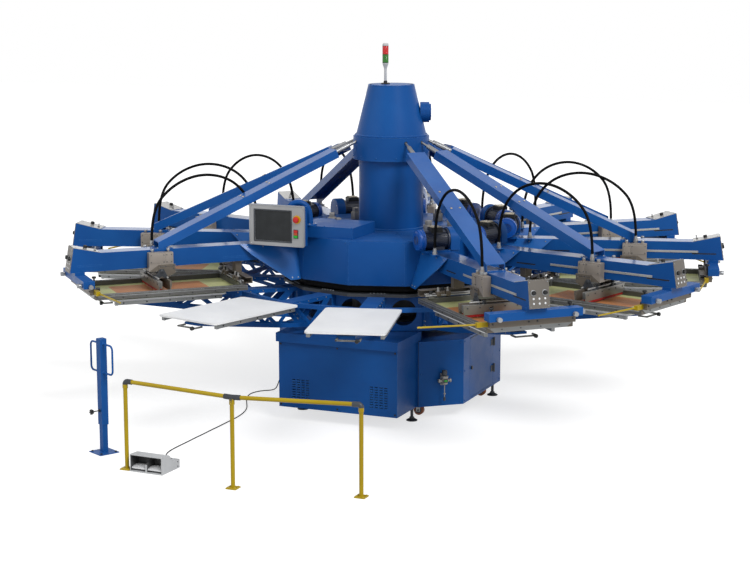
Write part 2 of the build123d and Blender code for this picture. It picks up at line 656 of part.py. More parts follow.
def print_tool():
    """Squeegee and flood bar hung from two rocking plates."""
    holder_low = SQUEEGEE_LOW + 35
    plate_low = 1032
    inner = CARRIAGE_HALF + 5 + SEAT
    r, z = PIVOT_R, plate_low + SEAT
    rocker = side_cut([(r - 14, PIVOT_Z + 16), (r + 14, PIVOT_Z + 16), (r + 58, z), (r + 28, z), (r, z + 20),
                       (r - 23, z), (r - 48, z)], inner, inner + 6)
    rocker -= rod((0, -r, PIVOT_Z), (200, -r, PIVOT_Z), PIVOT_PIN + RUN)
    flood = side_cut([(r - 34, SQUEEGEE_LOW + 10), (r - 30, SQUEEGEE_LOW + 10), (r - 27, plate_low - 22),
                      (r - 27, plate_low), (r - 43, plate_low), (r - 43, plate_low - 22)],
                     -SQUEEGEE_HALF + 5, SQUEEGEE_HALF - 5)
    r = SQUEEGEE_R
    holder = side_cut([(r - 10, holder_low), (r + 6, holder_low), (r + 14, plate_low), (r - 12, plate_low)],
                      -SQUEEGEE_HALF - 4, SQUEEGEE_HALF + 4)
    blade = side_cut([(r - 7, SQUEEGEE_LOW), (r + 2, SQUEEGEE_LOW), (r + 4, holder_low - SEAT),
                      (r - 6, holder_low - SEAT)], -SQUEEGEE_HALF, SQUEEGEE_HALF)
    return both_sides(rocker) + [holder, blade, flood]


def carriage_hose():
    """Air hose that loops from the gusset to the carriage and follows its stroke."""
    start, end = HOSE_START_R, HOSE_END_R
    route = [(start, HOSE_START_Z), (start, 1480), (start + 145, 1680), (start + 380, 1740), (end - 155, 1660),
             (end, 1480), (end, HOSE_END_Z)]
    return cord([(HOSE_T, -r, z) for r, z in route], 10)


# ---- operator panel ----
PANEL_X = (-729, -295)
PANEL_Z = (1236, 1530)
PANEL_BACK = -790
PANEL_FACE = -880


def control_panel():
    """Enclosure with a face plate, a touch screen, and the collars of its push buttons."""
    (x0, x1), (z0, z1) = PANEL_X, PANEL_Z
    joint = PANEL_FACE + 15
    case = box(x0 + 6, x1 - 6, joint, PANEL_BACK, z0 + 6, z1 - 6)
    case = chamfer(case.faces().sort_by(Axis.Y)[-1].edges(), 25)
    face = fillet(box(x0, x1, PANEL_FACE, joint - SEAT, z0, z1).edges().filter_by(Axis.Y), 14)
    face -= box(-683, -401, PANEL_FACE - 5, PANEL_FACE + 5, 1272, 1487)
    face -= rod((-352, PANEL_FACE - 1, 1433), (-352, joint + 1, 1433), 11 + RUN)
    screen = box(-683 + SEAT, -401 - SEAT, PANEL_FACE + 3, PANEL_FACE + 5 - SEAT, 1272 + SEAT, 1487 - SEAT)
    collar = rod((-352, PANEL_FACE - 6, 1433), (-352, PANEL_FACE - SEAT, 1433), 30)
    collar -= rod((-352, PANEL_FACE - 7, 1433), (-352, PANEL_FACE, 1433), 11 + RUN)
    bezel = box(-378, -342, PANEL_FACE - 4, PANEL_FACE - SEAT, 1298, 1362)
    lamp = box(-374, -346, PANEL_FACE - 8, PANEL_FACE - 4 - SEAT, 1322, 1338)
    for z in (1302, 1340):
        pocket = box(-374, -346, PANEL_FACE - 5, PANEL_FACE + 8, z, z + 18)
        face -= pocket
        bezel -= pocket
    return [case, face, screen, collar, bezel, lamp]


def estop_button():
    """Red mushroom head on its stem."""
    head = turned_profile([(0, 0), (11, 0), (11, 23), (18, 23), (20, 28), (20, 34), (14, 38), (0, 38)])
    return Pos(-352, PANEL_FACE + 9, 1433) * Rot(90, 0, 0) * head


def push_button(z):
    return box(-374 + SEAT, -346 - SEAT, PANEL_FACE - 10, PANEL_FACE + 3, z + SEAT, z + 18 - SEAT)


def control_panel_arm():
    """Swan-neck tube: swivel flange on the duct, and the bracket behind the panel."""
    x, y, low = -340, -690, 1372 + SEAT
    flange = rod((x, y, low), (x, y, low + 10), 50)
    path = FilletPolyline((x, y, low + 10), (x, y, 1531), (-480, -745, 1531), (-480, -745, 1455), radius=60)
    tube = sweep(Plane(origin=(x, y, low + 10)) * Circle(28), path=path)
    bracket = box(-540, -420, PANEL_BACK + SEAT, -717, 1382, 1456)
    return flange + tube + bracket


# ---- round the press ----
def on_floor(angle, radius):
    a = radians(angle)
    return (radius * sin(a), -radius * cos(a))


def safety_barrier():
    """Low rail before the open stations: three posts, two rails, and moulded corner fittings."""
    places = [on_floor(angle, BARRIER_R) for angle in BARRIER_ANGLES]
    rail_z, sleeve = BARRIER_TOP - 17, 17
    posts = [rod((x, y, 8), (x, y, rail_z - 20), BARRIER_TUBE) + box(x - 35, x + 35, y - 35, y + 35, 0, 8)
             for x, y in places]
    lines = [Vector(b[0] - a[0], b[1] - a[1], 0).normalized() for a, b in zip(places, places[1:])]
    corners = [Vector(x, y, rail_z) for x, y in places]
    rails = [rod(tuple(a + line * 20), tuple(b - line * 20), BARRIER_TUBE)
             for a, b, line in zip(corners, corners[1:], lines)]
    fittings = []
    for corner, line in ((corners[0], lines[0]), (corners[2], lines[1] * -1)):
        foot = corner - Vector(0, 0, 45)
        bend = FilletPolyline(tuple(foot), tuple(corner), tuple(corner + line * 55), radius=19)
        fittings.append(sweep(Plane(origin=foot) * Circle(sleeve), path=bend))
    x, y = places[1]
    tee = rod((x, y, rail_z - 45), (x, y, rail_z), sleeve)
    tee += rod(tuple(corners[1] - lines[0] * 55), tuple(corners[1] + lines[0] * 5), sleeve)
    tee += rod(tuple(corners[1] - lines[1] * 5), tuple(corners[1] + lines[1] * 55), sleeve)
    fittings.insert(1, tee)
    bars = posts + rails
    for n in range(len(fittings)):
        for bar in bars:
            fittings[n] -= bar
    return bars + fittings


PEDAL_TURN = -2
PEDAL_ASIDE, PEDAL_INSIDE = 167.6263, 65.4877       # middle of the foot switch, from the barrier's left post
POST_X, POST_Y = on_floor(BARRIER_ANGLES[0], BARRIER_R)
PEDAL_X, PEDAL_Y = POST_X + PEDAL_ASIDE, POST_Y + PEDAL_INSIDE
PEDAL_WIDE, PEDAL_DEEP = 240, 215


def at_pedal(shape):
    return Pos(PEDAL_X, PEDAL_Y, 0) * Rot(0, 0, PEDAL_TURN) * Pos(0, -PEDAL_DEEP / 2, 0) * shape


def along_depth(points, x0, x1):
    """Plate with a side view of (depth from the front, z) points, from x0 to x1."""
    plane = Plane(origin=(x1, 0, 0), x_dir=(0, 1, 0), z_dir=(1, 0, 0))
    return extrude(plane * make_face(Polyline(*points, close=True)), x1 - x0, dir=(-1, 0, 0))


def pedal_housing():
    """Hooded foot switch with a low box of contacts behind, and a wall between its pedals."""
    half = PEDAL_WIDE / 2
    hood = along_depth([(0, 0), (PEDAL_DEEP, 0), (PEDAL_DEEP, 57), (120, 62), (104, 98), (90, 111), (0, 115)],
                       -half, half)
    hood -= along_depth([(-1, 8), (97, 8), (97, 95), (86, 105), (-1, 109)], -half + 6, half - 6)
    hood += along_depth([(2, 7), (2, 56), (66, 80), (98, 80), (98, 7)], -7, 7)
    return at_pedal(hood)


def pedal(side):
    """One rocking pedal, hinged at its rear edge."""
    tread = along_depth([(6, 21), (10, 29), (60, 40), (94, 34), (94, 27), (60, 33), (14, 21)], 9, PEDAL_WIDE / 2 - 9)
    tread += rod((7 + SEAT, 91, 30.5), (PEDAL_WIDE / 2 - 6 - SEAT, 91, 30.5), 4)
    return at_pedal(tread if side > 0 else mirror(tread, Plane.YZ))


def pedal_cord():
    """Cable of the foot switch, lying on the floor and rising a little to the base."""
    z = 4
    x, y = PEDAL_X, PEDAL_Y
    route = [(x - 24, y + 110, 24), (x - 30, y + 162, 11), (x - 48, y + 218, z), (x - 84, y + 282, z),
             (x - 118, y + 360, z), (-748, y + 446, z), (-750, -1900, z), (-749, -1790, z), (-751, -1680, z), (-749, -1570, z),
             (-751, -1460, z), (-749, -1350, z), (-751, -1240, z), (-750, -1130, z), (-754, -1040, z),
             (-766, -950, z), (-790, -850, z), (-830, -755, z), (-880, -665, z), (-930, -570, z), (-970, -480, z),
             (-995, -390, z), (-985, -315, z), (-952, -256, z), (-905, -225, z), (-858, -221, 18),
             (-834, -224, 70), (-812, -226, 130), (-GLAND_X, GLAND_Y, GLAND_Z)]
    return cord(route, 3.75)


def stand_base():
    base = block(-72.5, 72.5, STAND_R - 72.5, STAND_R + 72.5, 0, 6)
    tube = block(-20, 20, STAND_R - 20, STAND_R + 20, 6, 560) - block(-17, 17, STAND_R - 17, STAND_R + 17, 7, 561)
    return Rot(0, 0, STAND_ANGLE) * (base + tube)


def stand_post():
    """Sliding outer post of the stand, with a handle on each side and a clamping knob."""
    low, high, half = 193, 773, 25
    bore = 20 + SEAT
    r = STAND_R
    post = block(-half, half, r - half, r + half, low, high) - block(-bore, bore, r - bore, r + bore, low - 1, high - 5)
    route = FilletPolyline((half, -r, 547), (134, -r, 547), (134, -r, 741), (half, -r, 741), radius=30)
    handle = sweep(Plane(origin=(half, -r, 547), z_dir=(1, 0, 0)) * Circle(6.5), path=route)
    star = Circle(11)
    for n in range(5):
        star += Rot(0, 0, 72 * n) * Pos(12, 0) * Circle(6)
    knob = Plane(origin=(0, -r - 80, 290), z_dir=(0, -1, 0)) * star
    post += extrude(knob, 16, dir=(0, -1, 0))
    post += rod((0, -r - half, 290), (0, -r - 80, 290), 4)
    return repeat([STAND_ANGLE], [post] + both_sides(handle))


# ---- write every piece ----
save("base_housing", *base_housing())
save("front_cabinet", *front_cabinet())
save("service_door", service_door())
save("leveling_feet", *[leveling_foot(x, y) for x, y in FOOT_PLACES])
save("casters", *[piece for x, y in CASTER_PLACES for piece in caster(x, y)])
save("air_regulator", air_regulator())
save("drive_equipment", *drive_equipment())
save("column", *column())
save("column_cap", *column_cap())
save("hub_cover", *hub_cover())
save("stack_light", *stack_light())
save("lift_carrier", lift_carrier())
save("carousel_hub", *carousel_hub())
save("pallet_arms", *repeat(STATION_ANGLES, [pallet_arm()]),
     *repeat([angle + PITCH / 2 for angle in STATION_ANGLES], [cross_member()]))
save("pallet_brackets", *repeat(STATION_ANGLES, pallet_bracket()))
save("pallets", *repeat(STATION_ANGLES, [pallet()]))
save("print_arms", *repeat(HEAD_ANGLES, [print_arm()]))
save("arm_gussets", *repeat(HEAD_ANGLES, gusset()))
save("carriage_rails", *repeat(HEAD_ANGLES, carriage_rail()))
save("drive_motors", *repeat(HEAD_ANGLES, drive_motor()))
save("stay_beams", *repeat(HEAD_ANGLES, stay_beam()))
save("frame_holders", *repeat(HEAD_ANGLES, frame_holder()))
save("registration_knobs", *repeat(HEAD_ANGLES, registration_knobs()))
save("screen_frames", *repeat(HEAD_ANGLES, screen_frame()))
save("screen_meshes", *repeat(HEAD_ANGLES, [screen_mesh()]))
right_heads = [angle for angle in HEAD_ANGLES if angle < 180]
left_heads = [angle for angle in HEAD_ANGLES if angle > 180]
save("trip_rods", *repeat(right_heads, [trip_rod(-1)]), *repeat(left_heads, [trip_rod(1)]))
save("head_controls", *repeat(HEAD_ANGLES, head_controls()))
save("carriage_hoses", *repeat(HEAD_ANGLES, [carriage_hose()]))
saddle, tool = carriage(), print_tool()
for number, angle in enumerate(HEAD_ANGLES, 1):
    save(f"carriage_{number:02d}", Rot(0, 0, angle) * saddle)
    save(f"print_tool_{number:02d}", *repeat([angle], tool))
save("control_panel", *control_panel())
save("control_panel_arm", control_panel_arm())
save("estop_button", estop_button())
save("start_button", push_button(1302))
save("stop_button", push_button(1340))
save("safety_barrier", *safety_barrier())
save("pedal_housing", pedal_housing())
save("pedal_left", pedal(-1))
save("pedal_right", pedal(1))
save("pedal_cord", pedal_cord())
save("stand_base", stand_base())
save("stand_post", *stand_post())
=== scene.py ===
from math import atan2, cos, degrees, pi, radians, sin, tan

import bmesh
import bpy
from mathutils import Matrix, Vector


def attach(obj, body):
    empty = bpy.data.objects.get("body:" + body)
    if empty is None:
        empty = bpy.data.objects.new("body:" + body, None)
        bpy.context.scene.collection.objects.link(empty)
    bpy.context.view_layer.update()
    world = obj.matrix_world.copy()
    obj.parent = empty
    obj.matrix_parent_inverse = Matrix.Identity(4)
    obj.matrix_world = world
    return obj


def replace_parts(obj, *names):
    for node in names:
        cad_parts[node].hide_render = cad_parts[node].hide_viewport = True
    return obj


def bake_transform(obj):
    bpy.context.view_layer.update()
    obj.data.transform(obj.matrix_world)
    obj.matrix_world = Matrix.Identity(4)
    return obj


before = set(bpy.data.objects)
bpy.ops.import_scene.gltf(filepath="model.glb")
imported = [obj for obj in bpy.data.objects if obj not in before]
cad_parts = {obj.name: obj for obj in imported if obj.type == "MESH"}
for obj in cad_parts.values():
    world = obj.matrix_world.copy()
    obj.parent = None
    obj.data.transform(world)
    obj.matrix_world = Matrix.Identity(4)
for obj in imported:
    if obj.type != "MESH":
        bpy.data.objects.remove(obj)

# Looks of the automatic carousel press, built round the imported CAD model. Shapes are drawn in
# millimetres in the machine's frame: the origin is on the floor on the column's axis and the front is
# -Y. What repeats is drawn at the front station, with t across it, r out from the column and z up.

MM = 0.001
FAR = 9999
ORIGIN, UP, DOWN, FRONT, REAR = (0, 0, 0), (0, 0, 1), (0, 0, -1), (0, -1, 0), (0, 1, 0)
LEFT, RIGHT = (-1, 0, 0), (1, 0, 0)
SIDES = (-1, 1)
SQUARE = ((-25, -25), (25, -25), (25, 25), (-25, 25))      # corners of a post or of its bolts
PITCH = 30
STATION_ANGLES = [PITCH * (n + 0.5) for n in range(12)]
HEAD_ANGLES = STATION_ANGLES[1:-1]
CARRIAGES = [(f"head_carriage_{n:02d}", angle) for n, angle in enumerate(HEAD_ANGLES, 1)]
TOOLS = [(f"head_tool_{n:02d}", angle) for n, angle in enumerate(HEAD_ANGLES, 1)]
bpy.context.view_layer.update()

# Places in the CAD that the pieces below are fitted to
HOUSING = [(473, -624), (732, -400), (732, 400), (473, 624),
           (-473, 624), (-732, 400), (-732, -400), (-473, -624)]
CABINET_FRONT = -977
FEET = ((430, -640), (-430, -640), (700, 315), (-700, 315))
CASTERS = ((430, -500), (-430, -500), (640, 230), (-640, 230))
BARRIER_R, BARRIER_ANGLES = 2650, (-17.2, 1.0, 18.8)
STAND_R, STAND_ANGLE = 2511, -26.9
PEDAL_PLACE = (-616, -2466, 0)
COVER_FLAT, COVER_TOP = 765, 1290                  # flat sides and top of the hub cover
COLLAR_R, CAP_RIM_R = 280, 266.4                   # column's collar and the rim of its cap
CAP_FAN_ANGLE, CAP_FAN_Z = 113, 2138
LAMP_X, LAMP_Y = -43, -9
PANEL_FACE = -880
SCREEN_X, SCREEN_Z = (-683, -401), (1272, 1487)
NECK_X, NECK_Y = -340, -690
ARM_SIDE, ARM_TOP = 71, 1232
ARM_SLOTS = ((1166, 1325), (2205, 2378))
END_R, END_Z, END_LEAN = 2434, 1100, 29 / 174      # end panel of a head, leaning in as it rises
HOOD_SLOPE = 42 / 192
STAY_TILT = radians(24.2)
GUSSET_LEAN = 0.34
MOTOR_R, MOTOR_Z = 870, 1316
CROSSBAR_FRONT = -2393.2
PIVOT_R = 1794                                     # pin that a print tool hangs from
FRAME_TOP = 974.9
STENCIL_SIDE, STENCIL_LONG, STENCIL_MIDDLE = 195, 338, 1768        # half sizes and middle of the stain
GLAND = (-750, -226, 130)
PEDAL_ROUTE = [
    (-640, -2356, 24), (-646, -2304, 11), (-664, -2248, 4), (-700, -2184, 4), (-734, -2106, 4),
    (-748, -2020, 4), (-750, -1900, 4), (-749, -1790, 4), (-751, -1680, 4), (-749, -1570, 4),
    (-751, -1460, 4), (-749, -1350, 4), (-751, -1240, 4), (-750, -1130, 4), (-754, -1040, 4),
    (-766, -950, 4), (-790, -850, 4), (-830, -755, 4), (-880, -665, 4), (-930, -570, 4),
    (-970, -480, 4), (-995, -390, 4), (-985, -315, 4), (-952, -256, 4), (-905, -225, 4),
    (-858, -221, 18), (-834, -224, 70), (-812, -226, 130), GLAND]
HOSE_T, HOSE_NEAR, HOSE_OUT = -100, 1035, 1800
HOSE_ROUTE = [(HOSE_NEAR, 1262), (HOSE_NEAR, 1480), (1180, 1680), (1415, 1740), (1645, 1660),
              (HOSE_OUT, 1480), (HOSE_OUT, 1250)]


# ---- shader nodes ----
class Nodes:
    """Shader nodes of one material or world."""

    def __init__(self, owner):
        owner.use_nodes = True
        self.tree = owner.node_tree
        self.tree.nodes.clear()

    def feed(self, node, inputs):
        for key, value in inputs.items():
            if isinstance(value, bpy.types.NodeSocket):
                self.tree.links.new(value, node.inputs[key])
            else:
                node.inputs[key].default_value = value

    def add(self, kind, inputs=None, **settings):
        node = self.tree.nodes.new("ShaderNode" + kind)
        for key, value in settings.items():
            setattr(node, key, value)
        self.feed(node, inputs or {})
        return node

    def math(self, operation, a, b=0.0):
        return self.add("Math", {0: a, 1: b}, operation=operation).outputs[0]

    def seen_directly(self):
        """1 for rays from the eye and for those that metal or glass sends on."""
        rays = self.add("LightPath").outputs
        total = rays["Is Camera Ray"]
        for other in ("Is Glossy Ray", "Is Transmission Ray"):
            total = self.math("MAXIMUM", total, rays[other])
        return total


class Surface(Nodes):
    """Nodes of one finish, in the object's own coordinates."""

    def __init__(self, name):
        self.material = bpy.data.materials.new(name)
        super().__init__(self.material)
        self.shader = self.add("BsdfPrincipled")
        self.add("OutputMaterial", {"Surface": self.shader.outputs[0]})
        self.place = self.add("TexCoord").outputs["Object"]

    def mix(self, factor, a, b):
        return self.add("Mix", {0: factor, 6: a, 7: b}, data_type="RGBA").outputs[2]

    def noise(self, scale, detail):
        return self.add("TexNoise", {"Vector": self.place, "Scale": scale, "Detail": detail}).outputs[0]

    def spread(self, value, low, high, to_low=0.0, to_high=1.0):
        return self.add("MapRange", {0: value, 1: low, 2: high, 3: to_low, 4: to_high}).outputs[0]

    def edges(self, radius):
        """1 along sharp edges, 0 on the flats."""
        soft = self.add("Bevel", {"Radius": radius}, samples=4).outputs[0]
        true = self.add("NewGeometry").outputs["Normal"]
        same = self.add("VectorMath", {0: soft, 1: true}, operation="DOT_PRODUCT").outputs["Value"]
        return self.spread(same, 0.99, 0.86)

    def upward(self):
        normal = self.add("NewGeometry").outputs["Normal"]
        return self.spread(self.add("SeparateXYZ", {0: normal}).outputs[2], 0.7, 1.0)

    def look(self, colour, rough, height, strength, distance, **others):
        """Sets the shader and gives the material: height is what its bumps follow."""
        bump = self.add("Bump", {"Strength": strength, "Distance": distance, "Height": height})
        self.feed(self.shader, {"Base Color": colour, "Roughness": rough, "Normal": bump.outputs[0]})
        self.feed(self.shader, {key.replace("_", " "): value for key, value in others.items()})
        return self.material


# ---- camera, light and floor ----
def linked(name, data):
    made = bpy.data.objects.new(name, data)
    bpy.context.scene.collection.objects.link(made)
    return made


def add_camera():
    data = bpy.data.cameras.new("camera")
    data.sensor_width = 36.0
    data.lens = 86.0
    data.clip_end = 400.0
    camera = linked("camera", data)
    camera.location = (5.0816, -12.1659, 3.1855)
    camera.rotation_euler = (radians(79.7987), 0.0, radians(23.19))
    bpy.context.scene.camera = camera


PURE_WHITE = (1.0, 1.0, 1.0, 1.0)


def add_studio():
    """White backdrop, soft light from all round, and two wide suns."""
    scene = bpy.context.scene
    scene.view_settings.view_transform = "Standard"
    scene.world = bpy.data.worlds.new("studio")
    nodes = Nodes(scene.world)
    lamp = nodes.add("Background", {"Color": PURE_WHITE, "Strength": 0.6})
    backdrop = nodes.add("Background", {"Color": PURE_WHITE, "Strength": 1.0})
    choice = nodes.add("MixShader", {0: nodes.seen_directly(), 1: lamp.outputs[0], 2: backdrop.outputs[0]})
    nodes.add("OutputWorld", {"Surface": choice.outputs[0]})
    for name, strength, angle, tilt, heading in (("key", 1.95, 22, 46, 58), ("fill", 0.4, 50, 60, -40)):
        data = bpy.data.lights.new(name, "SUN")
        data.energy = strength
        data.angle = radians(angle)
        linked(name, data).rotation_euler = (radians(tilt), 0.0, radians(heading))


def add_floor():
    """Floor that is white to the eye and takes shadows."""
    half = 30.0
    corners = [(-half, -half, 0), (half, -half, 0), (half, half, 0), (-half, half, 0)]
    data = bpy.data.meshes.new("floor")
    data.from_pydata(corners, [], [(0, 1, 2, 3)])
    material = bpy.data.materials.new("floor")
    nodes = Nodes(material)
    matt = nodes.add("BsdfDiffuse", {"Color": (0.5, 0.5, 0.5, 1.0)})
    share = nodes.math("MULTIPLY", nodes.seen_directly(), 0.68)
    glow = nodes.add("Emission", {"Color": PURE_WHITE, "Strength": share})
    both = nodes.add("AddShader", {0: matt.outputs[0], 1: glow.outputs[0]})
    nodes.add("OutputMaterial", {"Surface": both.outputs[0]})
    data.materials.append(material)
    linked("floor", data)


# ---- materials ----
def tone(red, green, blue):
    """Linear colour of an 8-bit screen colour."""
    def linear(value):
        value /= 255
        return value / 12.92 if value <= 0.04045 else ((value + 0.055) / 1.055) ** 2.4
    return (linear(red), linear(green), linear(blue), 1.0)


# Whitish tint laid on upward faces: dusting and painted top light at once.
DUST_AND_TOP_LIGHT = tone(190, 196, 205)
COAT_IOR, COAT_ROUGH = 1.2, 0.12       # clear lacquer that shines only at a low angle


def finish(name, colour, second, rough, metal=0.0, grain=260.0, bump=0.15, blotch=2.2, edge_wear_and_highlight=None, dust_and_top_light=0.0,
           gloss=0.5, coat=0.0):
    """Finish with blotches of a second colour, fine grain, edges in wear and painted highlight, and a whitish
    dusting with painted top light on what faces up.
    """
    s = Surface(name)
    fine = s.noise(grain, 3.0)
    tint = s.mix(s.spread(s.noise(blotch, 5.0), 0.36, 0.66), tone(*colour), tone(*second))
    tint = s.mix(s.spread(fine, 0.3, 0.8, 0.0, 0.22), tint, tone(*second))
    # Edges in a second colour, mostly lighter: wear, and also a painted highlight along the edges.
    if edge_wear_and_highlight:
        edge_patches = s.spread(s.noise(34.0, 6.0), 0.42, 0.62, 0.25, 1.0)
        tint = s.mix(s.math("MULTIPLY", s.edges(0.0035), edge_patches), tint, tone(*edge_wear_and_highlight))
    # Whitish dusting on what faces up, which also stands for light falling from above: painted top light.
    if dust_and_top_light:
        dust_and_top_light_mask = s.math("MULTIPLY", s.upward(), s.spread(s.noise(6.0, 6.0), 0.35, 0.7, 0.3 * dust_and_top_light, dust_and_top_light))
        tint = s.mix(dust_and_top_light_mask, tint, DUST_AND_TOP_LIGHT)
    uneven = s.spread(s.math("ADD", fine, s.noise(9.0, 4.0)), 0.7, 1.3, *rough)
    return s.look(tint, uneven, fine, bump, 0.0006, Metallic=metal, Specular_IOR_Level=gloss,
                  Coat_Weight=coat, Coat_IOR=COAT_IOR, Coat_Roughness=COAT_ROUGH)


BLUE = finish("blue_paint", (14, 72, 139), (20, 82, 151), (0.3, 0.46), edge_wear_and_highlight=(58, 112, 176), dust_and_top_light=0.04,
              gloss=0.14)
ARM_BLUE = finish("arm_top_blue", (14, 72, 139), (20, 82, 151), (0.3, 0.46), edge_wear_and_highlight=(58, 112, 176), dust_and_top_light=0.06,
                  gloss=0.2, coat=1.0)
BLUE_FAN = finish("blue_fan", (4, 68, 150), (12, 84, 174), (0.24, 0.36), edge_wear_and_highlight=(70, 124, 200), gloss=0.4,
                  coat=0.5)
STAY_BLUE = finish("stay_blue", (12, 74, 144), (20, 86, 158), (0.28, 0.42), edge_wear_and_highlight=(76, 126, 188), dust_and_top_light=0.05,
                   gloss=0.15, coat=0.45)
# A lighter copy of the blue paint for the gussets: painted light, for the light they catch from above.
GUSSET_LIT_BLUE = finish("gusset_blue_painted_light", (14, 84, 158), (22, 96, 170), (0.3, 0.44), edge_wear_and_highlight=(76, 126, 188),
                     gloss=0.25,
                     coat=1.0)
NAVY = finish("dark_blue_cast", (14, 24, 44), (26, 40, 68), (0.28, 0.46), grain=90, bump=0.4, gloss=0.6)
DARK = finish("dark_steel", (44, 47, 52), (60, 64, 70), (0.4, 0.62), metal=0.35, edge_wear_and_highlight=(110, 114, 120))
BLACK = finish("black_plastic", (16, 17, 18), (26, 28, 30), (0.4, 0.58), grain=420, bump=0.2, gloss=0.35)
RUBBER = finish("black_rubber", (6, 6, 7), (13, 13, 14), (0.5, 0.66), grain=300, bump=0.2, gloss=0.07)
ZINC = finish("zinc_plating", (134, 135, 136), (160, 161, 162), (0.3, 0.46), metal=0.75, grain=150,
              edge_wear_and_highlight=(206, 208, 210))
BOLT = finish("bolt_zinc", (104, 110, 118), (134, 139, 146), (0.26, 0.42), metal=0.75, grain=150,
              edge_wear_and_highlight=(190, 194, 200))
BRIGHT = finish("bright_steel", (132, 134, 137), (158, 160, 163), (0.24, 0.38), metal=0.6, grain=500,
                bump=0.08)
BRASS = finish("brass_bolts", (176, 160, 134), (198, 184, 160), (0.26, 0.4), metal=0.8)
ALLOY = finish("alloy_profile", (112, 114, 114), (138, 140, 140), (0.32, 0.48), metal=0.75, grain=420,
               bump=0.12,
               edge_wear_and_highlight=(180, 182, 184))
FRAME_ALLOY = finish("frame_alloy", (78, 78, 76), (94, 94, 91), (0.34, 0.5), metal=0.25, grain=420,
                     bump=0.12,
                     edge_wear_and_highlight=(176, 178, 178))
ALUMINIUM = finish("pale_aluminium", (150, 150, 149), (172, 172, 171), (0.3, 0.46), metal=0.3, grain=420,
                   bump=0.12,
                   edge_wear_and_highlight=(206, 207, 208))
# A darker copy of the pale aluminium for the squeegee holders: painted shade.
SHADED_STRIP = finish("squeegee_alloy_painted_shade", (118, 116, 112), (138, 136, 132), (0.3, 0.44), metal=0.3, grain=420,
               bump=0.12,
               edge_wear_and_highlight=(188, 188, 186))
# Darker grey for the inside of the pedal housing: painted shade in its opening.
SHADED_INSIDE = finish("pedal_inside_painted_shade", (66, 67, 68), (80, 81, 82), (0.4, 0.56))
PEDAL = finish("pedal_plastic", (196, 197, 199), (208, 209, 211), (0.34, 0.5), grain=420, bump=0.25)
JAW = finish("clamp_casting", (92, 84, 74), (108, 100, 90), (0.38, 0.54), metal=0.3, edge_wear_and_highlight=(160, 154, 146))
WHITE = finish("white_coating", (238, 239, 240), (231, 232, 233), (0.34, 0.48), grain=700, bump=0.08,
               blotch=3.5,
               edge_wear_and_highlight=(204, 205, 207), gloss=0.35)
YELLOW = finish("yellow_paint", (174, 149, 6), (160, 134, 4), (0.34, 0.5), edge_wear_and_highlight=(214, 194, 84), gloss=0.3)
WARM_GREY = finish("carriage_grey", (132, 124, 116), (150, 142, 134), (0.36, 0.52), edge_wear_and_highlight=(186, 180, 172),
                   metal=0.25)
GREY = finish("light_grey_paint", (176, 178, 180), (192, 194, 196), (0.34, 0.5), edge_wear_and_highlight=(214, 215, 216),
              grain=380)
END_GREY = finish("end_panel_grey", (98, 93, 87), (112, 107, 101), (0.36, 0.52), metal=0.3,
                  edge_wear_and_highlight=(168, 164, 158))
HOOD_GREY = finish("hood_panel_grey", (150, 149, 147), (168, 167, 165), (0.3, 0.44),
                   edge_wear_and_highlight=(206, 206, 206), gloss=0.4,
                   coat=1.0)
PANEL_GREY = finish("panel_steel", (146, 147, 148), (160, 161, 162), (0.32, 0.46), metal=0.2, grain=420,
                    bump=0.1,
                    edge_wear_and_highlight=(206, 207, 208))
VALVE_GREY = finish("valve_casting", (134, 131, 126), (154, 151, 146), (0.36, 0.5), metal=0.35)
BEIGE = finish("beige_plastic", (186, 176, 154), (200, 190, 168), (0.42, 0.58))
RED = finish("red_plastic", (184, 10, 10), (200, 20, 16), (0.26, 0.42), grain=300, bump=0.1)
BLADE = finish("squeegee_red", (142, 20, 24), (160, 32, 34), (0.36, 0.52), blotch=14, bump=0.1, gloss=0.3)
GREEN = finish("green_plastic", (0, 156, 24), (8, 172, 36), (0.26, 0.42), grain=300, bump=0.1)
ORANGE = finish("orange_plastic", (176, 66, 16), (192, 80, 24), (0.3, 0.45), grain=300, bump=0.1)
E_YELLOW = finish("yellow_plastic", (196, 148, 8), (208, 162, 20), (0.3, 0.45), grain=300, bump=0.1)
TREAD = finish("caster_tread", (150, 84, 50), (172, 100, 62), (0.44, 0.62), grain=160, bump=0.3)
BUTTON = finish("white_buttons", (226, 228, 230), (214, 216, 220), (0.3, 0.42), grain=400, bump=0.05)


def glass_material():
    """Dark touch screen, glossy and smudged."""
    s = Surface("touch_screen")
    smudge = s.noise(16.0, 6.0)
    tint = s.mix(s.spread(smudge, 0.35, 0.7), tone(26, 29, 31), tone(38, 41, 43))
    return s.look(tint, s.spread(smudge, 0.3, 0.75, 0.38, 0.55), smudge, 0.05, 0.0004, Specular_IOR_Level=0.3)


def lens_material(name, colour, second):
    """Ribbed signal lens of deeply tinted plastic."""
    s = Surface(name)
    height = s.add("SeparateXYZ", {0: s.place}).outputs[2]
    rib = s.math("SINE", s.math("MULTIPLY", height, 900.0))
    cloud = s.noise(60.0, 3.0)
    share = s.math("MULTIPLY", s.spread(rib, -1, 1), s.spread(cloud, 0.2, 0.8))
    tint = s.mix(share, tone(*colour), tone(*second))
    return s.look(tint, s.spread(cloud, 0.3, 0.7, 0.1, 0.24), rib, 0.4, 0.0008)


